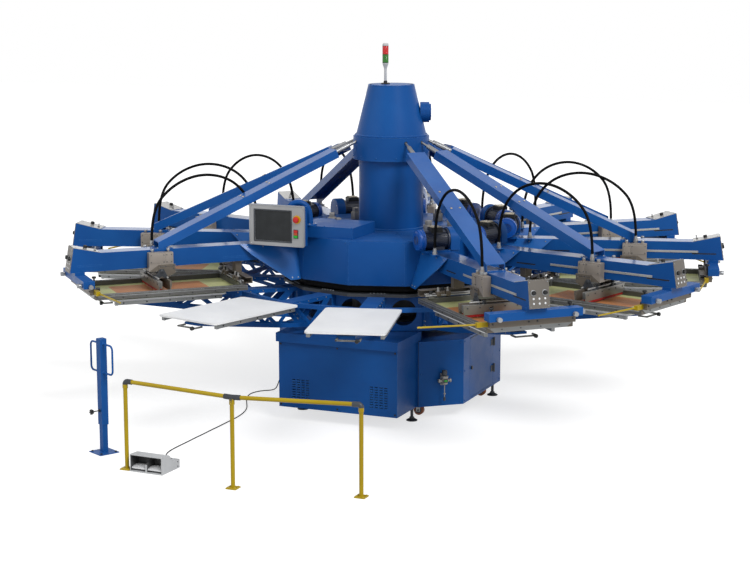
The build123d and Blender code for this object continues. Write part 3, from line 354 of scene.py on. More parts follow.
def cloth_material():
    """Screen printing mesh: a fine pale weave, stained brown over the print area by the stencil."""
    s = Surface("screen_mesh")
    across, out = s.add("SeparateXYZ", {0: s.place}).outputs[:2]
    threads = [s.math("SINE", s.math("MULTIPLY", value, 2600.0)) for value in (across, out)]
    weave = s.spread(s.math("MULTIPLY", *threads), -1, 1)
    wobble = s.math("MULTIPLY", s.math("SUBTRACT", s.noise(24.0, 4.0), 0.5), 0.012)
    side = s.math("ADD", s.math("ABSOLUTE", across), wobble)
    end = s.math("ADD", s.math("ABSOLUTE", s.math("ADD", out, STENCIL_MIDDLE * MM)), wobble)
    inside = s.math("MULTIPLY", s.spread(side, STENCIL_SIDE * MM, (STENCIL_SIDE - 4) * MM),
                    s.spread(end, STENCIL_LONG * MM, (STENCIL_LONG - 4) * MM))
    cloud = s.spread(s.noise(7.0, 6.0), 0.3, 0.7)
    pale = s.mix(cloud, tone(196, 198, 140), tone(178, 184, 124))
    stained = s.mix(cloud, tone(192, 128, 78), tone(172, 108, 62))
    tint = s.mix(s.math("MULTIPLY", weave, 0.18), s.mix(inside, pale, stained), tone(120, 100, 60))
    return s.look(tint, s.spread(weave, 0.0, 1.0, 0.42, 0.62), weave, 0.25, 0.0003)


SCREEN_GLASS = glass_material()
RED_LENS = lens_material("red_lens", (212, 20, 22), (166, 10, 12))
GREEN_LENS = lens_material("green_lens", (36, 122, 22), (18, 92, 12))
CLOTH = cloth_material()


# ---- drawing helpers ----
def aligned(at, axis):
    """Matrix that stands a shape drawn up +Z from the origin at a place, along an axis."""
    return Matrix.Translation(at) @ Vector(axis).to_track_quat("Z", "Y").to_matrix().to_4x4()


def about_z(angle, size=4):
    return Matrix.Rotation(radians(angle), size, "Z")


def floor_spot(angle, radius):
    """x and y at an angle from the front and a distance from the column's axis."""
    return radius * sin(radians(angle)), -radius * cos(radians(angle))


def direction(angle):
    """Level vector out from the column."""
    return Vector((*floor_spot(angle, 1), 0))


def circle(x, y, z, radius, count, start):
    """Level circle of places."""
    return [(x + radius * cos(2 * pi * k / count + start), y + radius * sin(2 * pi * k / count + start), z)
            for k in range(count)]


def hoop(radius, half, high):
    """Profile of a low flat ring."""
    return [(radius - half, 0), (radius - half + 1, high), (radius + half - 1, high), (radius + half, 0)]


def turned(data, angle):
    copy = data.copy()
    copy.transform(about_z(angle))
    return copy


class Piece:
    """A mesh being drawn at the front station: x across it, -y out from the column, z up."""

    def __init__(self):
        self.mesh = bmesh.new()

    def take(self, part, soft=0.0, place=None):
        """Adds a part, with its edges rounded by soft, put in its place by a matrix."""
        if soft:
            bmesh.ops.bevel(part, geom=part.edges[:], offset=soft, segments=2, profile=0.6, affect="EDGES")
        if place:
            bmesh.ops.transform(part, matrix=place, verts=part.verts[:])
        data = bpy.data.meshes.new("part")
        part.to_mesh(data)
        part.free()
        self.mesh.from_mesh(data)
        bpy.data.meshes.remove(data)

    def box(self, x0, x1, y0, y1, z0, z1, soft=0.0, place=None):
        part = bmesh.new()
        size = Matrix.Diagonal((x1 - x0, y1 - y0, z1 - z0, 1))
        middle = Matrix.Translation(((x0 + x1) / 2, (y0 + y1) / 2, (z0 + z1) / 2))
        bmesh.ops.create_cube(part, size=1.0, matrix=middle @ size)
        self.take(part, soft, place)

    def block(self, t0, t1, r0, r1, z0, z1, soft=0.0):
        """Box by its distances t and r, with t0 and t1 in either order."""
        self.box(*sorted((t0, t1)), -r1, -r0, z0, z1, soft)

    def plate(self, corners, thick, soft=0.0):
        """Plate with these corners, made thick by a vector."""
        part = bmesh.new()
        low = [part.verts.new(corner) for corner in corners]
        high = [part.verts.new(Vector(corner) + Vector(thick)) for corner in corners]
        part.faces.new(low[::-1])
        part.faces.new(high)
        for near in range(len(corners)):
            far = (near + 1) % len(corners)
            part.faces.new((low[near], low[far], high[far], high[near]))
        self.take(part, soft)

    def skin(self, rings, sides):
        """Faces between neighbouring rings of points; a ring of one point closes an end."""
        for low, high in zip(rings, rings[1:]):
            for k in range(sides):
                after = (k + 1) % sides
                corners = (low[k % len(low)], low[after % len(low)], high[after % len(high)],
                           high[k % len(high)])
                corners = list(dict.fromkeys(corners))
                if len(corners) > 2:
                    self.mesh.faces.new(corners)

    def lathe(self, at, axis, profile, sides=16):
        """Turned shape: profile is (radius, height) along the axis from at."""
        place = aligned(at, axis)
        rings = []
        for radius, height in profile:
            count = sides if radius > 0 else 1
            turns = [2 * pi * (k + 0.5) / sides for k in range(count)]
            rings.append([self.mesh.verts.new(place @ Vector((radius * cos(a), radius * sin(a), height)))
                          for a in turns])
        self.skin(rings, sides)

    def turn(self, at, axis, outline, sides=16):
        """Solid turned shape, closed flat at both ends of its outline."""
        self.lathe(at, axis, [(0, outline[0][1]), *outline, (0, outline[-1][1])], sides)

    def rod(self, at, axis, radius, long, sides=12):
        self.turn(at, axis, [(radius, 0), (radius, long)], sides)

    def bolt(self, at, axis, radius, high, sides=8):
        """Button head with a socket."""
        self.turn(at, axis, [(radius, 0), (radius, 0.7 * high), (0.84 * radius, high), (0.5 * radius, high),
                             (0.42 * radius, 0.5 * high)], sides)

    def bolts(self, places, axis, radius, high):
        for place in places:
            self.bolt(place, axis, radius, high)

    def knob(self, at, axis, radius, high, sides=20):
        """Knurled knob with a domed face: every second flute is cut in a little."""
        place = aligned(at, axis)
        rings = []
        for share, level in ((0.82, 0.0), (0.82, 0.12), (1.0, 0.2), (1.0, 0.82), (0.86, 1.0), (0.3, 1.0)):
            ring = []
            for k in range(sides):
                a = 2 * pi * k / sides
                reach = radius * share * (0.93 if k % 2 and 0.15 < level < 0.9 else 1.0)
                spot = place @ Vector((reach * cos(a), reach * sin(a), high * level))
                ring.append(self.mesh.verts.new(spot))
            rings.append(ring)
        self.skin(rings, sides)
        self.mesh.faces.new(rings[0][::-1])
        self.mesh.faces.new(rings[-1])

    def tube(self, points, radius):
        """Round tube along a smooth line through these control points."""
        data = swept(points, radius)
        data.transform(Matrix.Scale(1 / MM, 4))
        part = bmesh.new()
        part.from_mesh(data)
        bpy.data.meshes.remove(data)
        self.take(part)

    def repeated(self, angles):
        """Puts the same shapes at every station in the list, in place of the one at the front."""
        one = bpy.data.meshes.new("one")
        self.mesh.to_mesh(one)
        self.mesh.clear()
        for angle in angles:
            copy = turned(one, angle)
            self.mesh.from_mesh(copy)
            bpy.data.meshes.remove(copy)
        bpy.data.meshes.remove(one)
        return self

    def data(self, name, material):
        """Finished mesh in metres, smooth but for its sharp edges."""
        bmesh.ops.recalc_face_normals(self.mesh, faces=self.mesh.faces[:])
        made = bpy.data.meshes.new(name)
        self.mesh.to_mesh(made)
        self.mesh.free()
        made.transform(Matrix.Scale(MM, 4))
        made.materials.append(material)
        for face in made.polygons:
            face.use_smooth = True
        made.set_sharp_from_angle(angle=radians(38))
        return made

    def done(self, name, material, slot, body="frame"):
        return placed(linked(name, self.data(name, material)), body)

    def at_heads(self, name, material, slot):
        return self.repeated(HEAD_ANGLES).done(name, material, slot)

    def at_stations(self, name, material, slot, body="frame"):
        return self.repeated(STATION_ANGLES).done(name, material, slot, body)

    def done_each(self, name, bodies, material, slot):
        """One object for each (body, angle), its mesh turned to that station."""
        made = self.data(name, material)
        for number, (body, angle) in enumerate(bodies, 1):
            placed(linked(f"{name}_{number:02d}", turned(made, angle)), body)
        bpy.data.meshes.remove(made)


def pieces(count):
    return [Piece() for _ in range(count)]


def placed(piece, body):
    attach(piece, body)
    return piece


def curve_on(name, points, radius=0.0):
    """Curve object of one smooth spline with these control points, in millimetres."""
    curve = bpy.data.curves.new(name, "CURVE")
    curve.dimensions = "3D"
    curve.resolution_u = 10
    curve.bevel_depth = radius * MM
    curve.bevel_resolution = 4
    curve.use_fill_caps = True
    spline = curve.splines.new("NURBS")
    spline.points.add(len(points) - 1)
    for point, place in zip(spline.points, points):
        point.co = (*metres(place), 1.0)
    spline.order_u = 3
    spline.use_endpoint_u = True
    return linked(name, curve)


def swept(points, radius=0.0):
    """Mesh of that curve in metres: its tube, or its line where the radius is 0."""
    made = curve_on("line", points, radius)
    bpy.context.view_layer.update()
    data = bpy.data.meshes.new_from_object(made)
    for face in data.polygons:
        face.use_smooth = True
    curve = made.data
    bpy.data.objects.remove(made)
    bpy.data.curves.remove(curve)
    return data


def metres(place):
    return [v * MM for v in place]


def paint(name, finishes, by_station=True):
    """Paints a node by where its faces are: finishes are the material of the whole, and then rows of
    (material, low corner, high corner), of which the first that holds a face counts. The corners are in the
    station's own (t, r, z), or in x, y, z."""
    main, *rows = finishes
    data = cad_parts[name].data
    data.materials.clear()
    kinds = [main] + list(dict.fromkeys(row[0] for row in rows))
    for kind in kinds:
        data.materials.append(kind)
    for face in data.polygons:
        x, y, z = (v / MM for v in face.center)
        if by_station:
            a = radians((degrees(atan2(x, -y)) // PITCH) * PITCH + PITCH / 2)
            x, y = x * cos(a) + y * sin(a), x * sin(a) - y * cos(a)
        face.material_index = 0
        for kind, low, high in rows:
            if all(l <= v <= h for l, v, h in zip(low, (x, y, z), high)):
                face.material_index = kinds.index(kind, 1)
                break


def between(low, high):
    """Corners of all that is between two heights."""
    return (-FAR, -FAR, low), (FAR, FAR, high)


# ---- cords and screen cloths ----
def pedal_cable():
    cable = curve_on("pedal_cable", PEDAL_ROUTE, radius=3.75)
    cable.data.materials.append(RUBBER)
    placed(cable, "frame")
    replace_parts(cable, "pedal_cord")
    relief = Piece()
    relief.turn(GLAND, LEFT, [(9, 0), (9, 8), (7.5, 10), (7, 14), (5.6, 40), (4.2, 42)])
    relief.turn((-639, -2361, 25.5), (-6, 52, -13), [(8, 0), (8, 5), (6, 7), (5, 26), (4.2, 28)])
    relief.done("cable_reliefs", BLACK, "black_rubber")


def carriage_hoses():
    for number, (carriage, angle) in enumerate(CARRIAGES, 1):
        route = [tuple(about_z(angle, 3) @ Vector((HOSE_T, -r, z))) for r, z in HOSE_ROUTE]
        line = swept(route)
        bpy.data.meshes.remove(line)
        hose = linked(f"carriage_hose_{number:02d}", swept(route, radius=10))
        hose.data.materials.append(RUBBER)
        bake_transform(hose)
        if number == 1:
            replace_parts(hose, "carriage_hoses")


def screens():
    """Stretched cloths, each sagging half a millimetre at its middle."""
    half, near, far, level = 263.7, 1251.3, 2265.7, 941.2
    columns, rows = 12, 22
    cloth = bmesh.new()
    grid = []
    for j in range(rows + 1):
        r = near + (far - near) * j / rows
        line = []
        for i in range(columns + 1):
            t = -half + 2 * half * i / columns
            sag = 0.5 * (1 - (t / half) ** 2) * (1 - ((2 * r - near - far) / (far - near)) ** 2)
            line.append(cloth.verts.new((t * MM, -r * MM, (level - sag) * MM)))
        grid.append(line)
    for j in range(rows):
        for i in range(columns):
            face = cloth.faces.new((grid[j][i], grid[j + 1][i], grid[j + 1][i + 1], grid[j][i + 1]))
            face.smooth = True
    bmesh.ops.recalc_face_normals(cloth, faces=cloth.faces[:])
    data = bpy.data.meshes.new("mesh_cloth")
    cloth.to_mesh(data)
    cloth.free()
    data.materials.append(CLOTH)
    for number, angle in enumerate(HEAD_ANGLES, 1):
        piece = linked(f"mesh_cloth_{number:02d}", data.copy())
        piece.rotation_euler = (0.0, 0.0, radians(angle))
        placed(piece, "frame")
        if number == 1:
            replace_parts(piece, "screen_meshes")
    bpy.data.meshes.remove(data)


# ---- base, cabinet and what stands round the press ----
def base_details():
    screws, sheet_screws, lips, seams, nuts, hubs, lock = pieces(7)
    for (x0, y0), (x1, y1) in zip(HOUSING, HOUSING[1:] + HOUSING[:1]):
        along = Vector((x1 - x0, y1 - y0, 0))
        out = along.normalized().cross(Vector(UP))
        if out.y < -0.9:                 # the front wall is behind the cabinet
            continue
        for share in (22 / along.length, 1 - 22 / along.length):
            screws.bolts([Vector((x0, y0, z)) + along * share for z in (118, 334, 550)], out, 6, 3.5)
    screws.done("housing_screws", BLUE, "dark_steel")
    sheet_screws.bolts([(x, CABINET_FRONT, z) for x in (-440, 0, 440) for z in (116, 554)], FRONT, 7, 4)
    sheet_screws.done("cabinet_screws", BLACK, "dark_steel")

    y0, y1 = CABINET_FRONT, CABINET_FRONT - 3
    for x0, x1 in ((-357, -214), (243, 388)):
        step = (x1 - x0) / 4
        for column in range(4):
            left = x0 + step * column + 5
            right = left + step - 10
            for z in range(164, 309, 18):
                lips.plate([(left, y0, z), (right, y0, z), (right, y1, z - 3), (left, y1, z - 3)], UP)
    lips.done("louvre_lips", BLUE, "blue_paint")
    seams.box(-455, 455, -976.9, -625, 566, 572.2)
    for x in (-472, 472):
        seams.box(x - 1.5, x + 1.5, -625.5, -622, 100, 568)
    seams.done("cabinet_seams", BLACK, "dark_steel")

    thread = [(0, 27), (11.5, 27)] + [(11.6 if k % 2 else 10.2, 29 + 4 * k) for k in range(13)] + [(0, 80)]
    for x, y in FEET:
        for z in (15, 82):
            nuts.rod((x, y, z), UP, 18, 12, 6)
        nuts.lathe((x, y, 0), UP, thread, 14)
    nuts.done("foot_nuts", DARK, "zinc_parts")
    for x, y in CASTERS:
        for side in SIDES:
            hubs.turn((x, y + 14 * side, 47), (0, side, 0), [(24, 0), (24, 2.3), (20, 2.3), (9, 3.2)])
            hubs.bolt((x, y + 19.5 * side, 47), (0, side, 0), 8, 5, 6)
    hubs.done("caster_hubs", DARK, "zinc_parts")
    lock.turn((740, -238, 330), RIGHT, [(13, 0), (13, 1.5), (11, 2.5), (4, 2.5), (4, 1.2)], 20)
    lock.box(732, 734.5, -262, 222, 548, 551)
    lock.done("door_latch", DARK, "dark_steel", "door")


def regulator_details():
    body, trim, window = pieces(3)
    place = Matrix.Translation((637.8, -534.8, 0)) @ about_z(40.86)      # its back to the slanted wall
    body.turn(place @ Vector(ORIGIN), UP,
              [(3.4, 168), (3.4, 188), (9, 189), (9, 195), (3.4, 196), (3.4, 256),
               (12, 262), (23, 264), (23, 310), (27, 312), (27, 322)], 28)
    port = [(10, 0), (10, 18), (15, 19), (15, 29), (11, 31), (6, 31), (6, 22)]
    for side in SIDES:
        body.turn(place @ Vector((18 * side, 0, 288)), place.to_3x3() @ Vector((side, 0, 0)), port, 18)
    body.box(-20, 20, 28, 40, 250, 335, 1, place)
    body.box(-10, 10, 15, 32, 278, 300, 0, place)
    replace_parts(body.done("regulator_body", VALVE_GREY, "grey_paint"), "air_regulator")
    trim.knob(place @ Vector((0, 0, 322)), UP, 19, 42, 24)
    trim.turn(place @ Vector((0, 0, 142)), UP, [(8.5, 0), (8.5, 24), (4, 26)], 14)
    trim.box(-17, 17, -27, -20, 276, 304, 1.5, place)
    trim.done("regulator_trim", DARK, "black_rubber")
    window.box(-11, 11, -28.4, -26.9, 284, 296, 0.5, place)
    window.done("pressure_window", GREEN, "green_plastic")


def barrier_details():
    bolts = Piece()
    for angle in BARRIER_ANGLES:
        x, y = floor_spot(angle, BARRIER_R)
        for dx, dy in SQUARE:
            bolts.turn((x + dx, y + dy, 8), UP, [(5.5, 0), (5.5, 3.5), (4.5, 4.5)], 6)
        bolts.bolts([(x, y - 16.6, z) for z in (545, 556)], FRONT, 3.2, 2.5)
    bolts.done("barrier_bolts", YELLOW, "dark_steel")


def stand_details():
    base, top, knob = pieces(3)
    for dx in (-56, 56):
        for dy in (-56, 56):
            base.turn((dx, dy - STAND_R, 6), UP, [(9, 0), (9, 5), (7, 6.5)], 6)
    base.repeated([STAND_ANGLE]).done("stand_bolts", BLACK, "dark_steel")
    top.plate([(x, y - STAND_R, 773) for x, y in SQUARE], (0, 0, 3), 1.2)
    for side in SIDES:
        for z in (547, 741):
            top.lathe((25 * side, -STAND_R, z), (side, 0, 0),
                      [(6.6, 0), (12, 0), (11, 2.5), (7.4, 5), (6.6, 5)], 14)
    top.repeated([STAND_ANGLE]).done("stand_trim", BLUE, "blue_paint", "stand_top")
    for ahead, profile, sides in ((25, [(4.3, 0), (9, 0), (9, 10), (7, 12), (4.3, 12)], 12),
                                  (74, [(4.3, 0), (8, 0), (10, 6), (4.3, 6)], 12),
                                  (96, [(0, 0), (9, 0), (8, 2.5), (0, 3.4)], 16)):
        knob.lathe((0, -STAND_R - ahead, 290), FRONT, profile, sides)
    knob.repeated([STAND_ANGLE]).done("stand_knob", BLACK, "black_rubber", "stand_top")


def pedal_details():
    place = Matrix.Translation(PEDAL_PLACE) @ about_z(-2) @ Matrix.Translation((0, -107.5, 0))
    for side, name, body in ((-1, "left", "pedal_l"), (1, "right", "pedal_r")):
        ribs = Piece()
        for k in range(9):
            y = 16 + 7.4 * k
            z = 29 + 11 * (y - 10) / 50 if y < 60 else 40 - 6 * (y - 60) / 34
            ribs.box(*sorted((17 * side, 103 * side)), y - 1.7, y + 1.7, z - 1.0, z + 1.6, 0.6, place)
        ribs.done("pedal_ribs_" + name, PEDAL, "black_rubber", body)
    trim = Piece()
    for side in SIDES:
        trim.bolts([place @ Vector((120 * side, y, z)) for y, z in ((190, 45), (190, 14), (112, 85))],
                   place.to_3x3() @ Vector((side, 0, 0)), 4, 2.5)
    trim.done("pedal_screws", DARK, "dark_steel")


# ---- hub, column and lamp ----
def hub_details():
    bolts, panels, seams = pieces(3)
    bolts.bolts([(t, -766.3, z) for t in (-188, 188) for z in (990, 1276)], FRONT, 4.5, 3)
    bolts.bolts([(t, -r, 1291.2) for t, r in ((-170, 742), (170, 742), (-90, 410), (90, 410))], UP, 4.5, 3)
    bolts.repeated(STATION_ANGLES)
    bolts.bolts([(x, y, 1372) for x, y in ((-425, -715), (-215, -715), (-5, -715), (-425, -345), (-5, -345))],
                UP, 5, 3.5)
    bolts.done("hub_bolts", BLUE, "zinc_parts")

    spread = tan(radians(PITCH / 2))
    near, far, z = 262, 752, COVER_TOP
    t0, t1, edge = near * spread - 3, far * spread - 3, COVER_FLAT * spread
    panels.plate([(-t0, -near, z), (t0, -near, z), (t1, -far, z), (-t1, -far, z)], (0, 0, 1.4), 0.4)
    t, y = edge - 5, -COVER_FLAT
    panels.plate([(-t, y, 980), (t, y, 980), (t, y, 1286), (-t, y, 1286)], (0, -1.4, 0), 0.5)
    panels.at_stations("hub_panels", BLUE, "blue_paint")
    seams.box(-edge, edge, -742, -726, 933, 974, 1)
    seams.at_stations("hub_band", RUBBER, "black_rubber")


def column_details():
    trim, bolts, cowl = pieces(3)
    for profile in ([(238.2, 1290.5), (252, 1290.5), (252, 1299), (246, 1303), (238.2, 1303)],
                    [(261.2, 1968.6), (267, 1968.6), (267, 1980), (260.6, 1984)],
                    [(160, 2336), (168.5, 2332), (171.5, 2336), (168, 2342), (150, 2342)]):
        trim.lathe(ORIGIN, UP, profile, 64)
    trim.done("column_rings", BLUE, "blue_paint")
    for k in range(12):
        out = direction(30 * k)
        bolts.bolt(out * COLLAR_R + Vector((0, 0, 1822)), out, 5, 3.5)
        bolts.bolt(out * CAP_RIM_R + Vector((0, 0, 1975)), out, 4, 3)
    out, fan = direction(CAP_FAN_ANGLE), Vector((0, 0, CAP_FAN_Z))
    for k in range(6):
        a = 2 * pi * k / 6
        rim = Vector((-sin(a) * out.y, sin(a) * out.x, cos(a)))
        bolts.bolt(out * 290 + rim * 52 + fan, out, 4, 3)
    bolts.done("column_bolts", BLUE, "zinc_parts")
    for radius in (14, 24, 34, 44):
        cowl.lathe(out * 289.5 + fan, out, hoop(radius, 3, 2.4), 28)
    cowl.done("cowl_grille", BLACK, "black_rubber")


def lamp_details():
    ribs = [(22.2, 0)]
    for k in range(7):
        ribs += [(22.2, 4 + 8 * k), (23.4, 6 + 8 * k), (23.4, 8 + 8 * k), (22.2, 10 + 8 * k)]
    for name, low, material, slot in (("lens_green", 2497.5, GREEN_LENS, "green_plastic"),
                                      ("lens_red", 2558.5, RED_LENS, "red_plastic")):
        lens = Piece()
        lens.turn((LAMP_X, LAMP_Y, low), UP, ribs + [(22.2, 60)], 28)
        lens.done(name, material, slot)
    trim = Piece()
    for z in (2496, 2557, 2618):
        trim.lathe((LAMP_X, LAMP_Y, z), UP, [(21, 0), (23.2, 0.6), (23.2, 2.6), (21, 3.2)], 28)
    trim.lathe((LAMP_X, LAMP_Y, 2342), UP,
               [(10.2, 0.5), (34, 0.5), (34, 5), (30, 8), (15, 9), (12.5, 24), (10.2, 25)], 24)
    trim.bolts(circle(LAMP_X, LAMP_Y, 2350, 24, 4, 0.8), UP, 3.5, 2.5)
    trim.done("lamp_trim", BLACK, "black_rubber")


def valve_blocks():
    """Small air valves beside the column, on the cover, with the silencer of each."""
    blocks = Piece()
    blocks.box(-28, 28, -470, -420, 1292, 1352, 3)
    blocks.box(-20, 20, -462, -428, 1352, 1384, 2)
    blocks.turn((0, -470, 1322), FRONT, [(9, 0), (9, 8), (6, 10), (6, 16)], 12)
    blocks.repeated((60, 105, 150, 195, 240, 285, 322)).done("air_valves", VALVE_GREY, "grey_plastic")


# ---- carousel ----
def carousel_details():
    bolts, side_screws, clamps, rims = pieces(4)
    bolts.bolts([(t, -745, 915.3) for t in (-45, -20, 5, 31, 56)], UP, 5.5, 4.5)
    for side in SIDES:
        bolts.bolts([(60 * side, -r, 883) for r in range(831, 2100, 96)], (side, 0, 0), 4.8, 3.5)
        bolts.bolts([(60 * side, -r, z) for r in (768, 790) for z in (690, 720)], (side, 0, 0), 4.8, 3.5)
        side_screws.bolts([(side * 250, -r, 900) for r in range(1440, 2150, 165)], (side, 0, 0), 5.5, 3)
    bolts.bolts([(t, 15 - r, 913.9) for r in (1450, 2050) for t in (-40, 40)], DOWN, 4, 0.4)
    bolts.at_stations("carousel_bolts", BOLT, "zinc_parts", "carousel")
    side_screws.at_stations("pallet_screws", BLACK, "dark_steel", "carousel")
    clamps.bolts([(t, -2211, 879) for t in (-52, 98)], FRONT, 4.5, 3)
    clamps.knob((84, -2210.5, 879), FRONT, 14, 18.5, 16)
    for t in (-238, 238):
        for r in (1400, 2150):
            clamps.block(t - 11.5, t + 11.5, r - 9, r + 9, 884, 886.2, 0.5)
    clamps.at_stations("pallet_clamps", BLACK, "black_rubber", "carousel")
    for k in range(12):
        a = 2 * pi * k / 12
        rims.lathe((100.5 * cos(a), -712, 772 + 100.5 * sin(a)), FRONT,
                   [(0, 0), (4, 0), (4, 2.2), (0, 2.8)], 6)
    rims.lathe((0, -712, 772), FRONT, [(93.5, 0), (108, 0), (108, 2), (93.5, 2)], 40)
    rims.repeated([PITCH * n for n in range(12)]).done("port_rims", BLUE, "blue_paint", "carousel")


# ---- print heads ----
def stay_at(along, up, t):
    """Place on a stay: along it from the column, and up from its middle line."""
    r = COLLAR_R + along * cos(STAY_TILT) + up * sin(STAY_TILT)
    return t, -r, 1930 - along * sin(STAY_TILT) + up * cos(STAY_TILT)


def gusset_t(z):
    """How far from the arm's middle a gusset's inner face is at this height."""
    return 71.6 + GUSSET_LEAN * (ARM_TOP - z)


def end_spot(t, z):
    """Place on the end panel of a head."""
    return t, -(END_R - (z - END_Z) * END_LEAN), z


def gussets():
    """Folded side plates between arm and hub, leaning out to their feet, and the tab that holds the hose."""
    plates = Piece()
    outline = [(767, 968), (846, 964), (1120, 1156), (1202, 1231.5), (767, 1231.5)]
    for side in SIDES:
        plates.plate([(side * gusset_t(z), -r, z) for r, z in outline], (6 * side, 0, 6 * GUSSET_LEAN), 0.8)
    plates.box(-125, -71.6, -1060, -1010, 1233, 1238, 0.6)
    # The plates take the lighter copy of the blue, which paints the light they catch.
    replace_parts(plates.at_heads("gusset_plates", GUSSET_LIT_BLUE, "blue_paint"), "arm_gussets")


def head_fasteners():
    brass, zinc, dots, black, rings = pieces(5)
    end_axis, hood_axis = (0, -1, END_LEAN), (0, HOOD_SLOPE, 1)
    for along in (730, 947):
        for t in (-32, 32):
            brass.bolt(stay_at(along, 30, t), (0, -sin(STAY_TILT), cos(STAY_TILT)), 7.5, 4.5, 10)
    brass.at_heads("stay_bolts", BRASS, "zinc_parts")

    for side in SIDES:
        zinc.bolts([(side * (gusset_t(z) + 6.6), -r, z)
                    for r, z in ((790, 985), (835, 985), (800, 1205), (1030, 1210), (1150, 1214))],
                   (side, 0, GUSSET_LEAN), 5, 3.5)
        zinc.bolts([(52 * side, -r, 1238) for r in (1702, 1798)], UP, 6.5, 5)
        zinc.bolts([(60 * side, -r, 1246) for r in (805, 935)], UP, 5.5, 4)
    zinc.bolts([(-74.3, -r, 1160.5) for r in range(1460, 2249, 98)], LEFT, 3.6, 1.4)
    zinc.bolts([end_spot(t, z) for t in (-62, 62) for z in (1112, 1262)], end_axis, 3.6, 2.2)
    zinc.bolts([(t, -r, 1237 + (r - 2208) * HOOD_SLOPE) for t in (-60, 60) for r in (2222, 2384)], hood_axis,
               3.6, 2.2)
    zinc.at_heads("head_bolts", BOLT, "zinc_parts")

    for z in (1160, 1130):
        for t in (-40, 0, 40):
            dots.lathe(end_spot(t, z), end_axis, [(0, 0), (7, 0), (7, 1.6), (5.6, 2.6), (0, 2.8)], 14)
    dots.at_heads("head_buttons", BUTTON, "grey_plastic")
    for t in (-40, 40):
        black.knob(end_spot(t, 1196), end_axis, 14.5, 17)
        rings.lathe(end_spot(t, 1196), end_axis, [(14.6, 0), (19.5, 0), (19.5, 2), (14.6, 3)], 24)
    black.knob((-20, -2300, 1256), hood_axis, 14.5, 21.5)
    black.lathe((20, -2240, 1242), hood_axis, [(0, 0), (9, 0), (9, 4), (0, 5)], 12)
    # Black strips just behind the arm's slots stand for the drive belt and also paint the shade inside the
    # slots.
    for near, far in ARM_SLOTS:
        black.block(-69.6, -68, near - 2, far + 2, 1140.6, 1151.4)
    black.at_heads("head_knobs", BLACK, "black_rubber")
    rings.at_heads("knob_rings", BRIGHT, "bright_metal")


def arm_rails():
    """The rail that the carriage runs on, on the side where its drive shows, and the closed other side."""
    rails, blanks = pieces(2)
    rails.block(-74.3, -71.3, 1448, 2249, 1153, 1168, 0.4)
    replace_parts(rails.at_heads("carriage_rail", ALUMINIUM, "bright_metal"), "carriage_rails")
    for near, far in ARM_SLOTS:
        blanks.block(66, ARM_SIDE, near, far, 1141, 1151)
    blanks.at_heads("slot_blanks", BLUE, "blue_paint")


def crossbar_details():
    ends, knobs, caps, screws = pieces(4)
    for side in SIDES:
        ends.block(324.6 * side, 326 * side, 2315, 2393, 1026.3, 1078, 0.4)
    ends.at_heads("crossbar_ends", BLUE, "blue_paint")
    barrel = [(9, 0), (9, 6), (15.5, 7), (15.5, 30), (14, 32), (8, 32), (8, 30.5)]
    button = [(0, 0), (7.6, 0), (7, 1), (0, 1.2)]
    for t in (-265, 265):
        knobs.turn((t, CROSSBAR_FRONT, 1042), FRONT, barrel, 28)
        caps.lathe((t, CROSSBAR_FRONT - 30.6, 1042), FRONT, button)
    knobs.turn((325.2, -2346, 1042), RIGHT, [(r, 1.08 * h) for r, h in barrel], 28)
    caps.lathe((325.2 + 33.1, -2346, 1042), RIGHT, button)
    knobs.at_heads("micro_knobs", BRIGHT, "bright_metal")
    for t in (-275, 275):
        caps.rod((t, -2309, 1026.5), UP, 5.6, 64)
        caps.knob((t, -2309, 1090), UP, 15.5, 13, 16)
        caps.rod((t * 0.8, -1245, 985.5), UP, 6, 20)
        caps.knob((t * 0.8, -1245, 1003), UP, 13.5, 20, 16)
    caps.at_heads("clamp_knobs", BLACK, "black_rubber")
    screws.bolts([(t, -2312, 960) for t in (-200, -70, 70, 200)], FRONT, 4.5, 2.5)
    screws.bolts([(t, -2345.3, 1002) for t in (-280, -30, 30, 280)], FRONT, 6, 4)
    screws.bolts([(t, -1175, 1007) for t in (-240, -120, 120, 240)], REAR, 5.5, 4)
    screws.at_heads("holder_screws", DARK, "dark_steel")


def clamp_details():
    """What sits on the screen holders: slide blocks, guide rods and clamping cylinders."""
    silver, black, blocks = pieces(3)
    for side in SIDES:
        for t in (95 * side, 165 * side):
            blocks.block(t - 17, t + 17, 1226, 1262, 986, 1020, 2)
            silver.lathe((t, -1244, 1020), UP, [(0, 0), (11, 0), (11, 5), (7, 6), (7, 26), (0, 27)], 14)
        black.knob((130 * side, -1240, 1022), UP, 12, 22, 16)
        blocks.block(116 * side, 144 * side, 1226, 1254, 986, 1022, 2)
        black.turn((235 * side, -2262, 1006), FRONT, [(12.5, 0), (12.5, 30), (8, 32), (8, 40)], 14)
        silver.rod((195 * side, -2264, 1002), FRONT, 9, 34)
        blocks.block(173 * side, 257 * side, 2270, 2302, 990.5, 996, 1)
    for r, z in ((1238, 1003), (1254, 993)):
        silver.rod((-262, -r, z), RIGHT, 5, 524)
    silver.at_heads("clamp_rods", ALUMINIUM, "bright_metal")
    black.at_heads("clamp_cylinders", BLACK, "black_rubber")
    blocks.at_heads("slide_blocks", JAW, "alloy_profile")


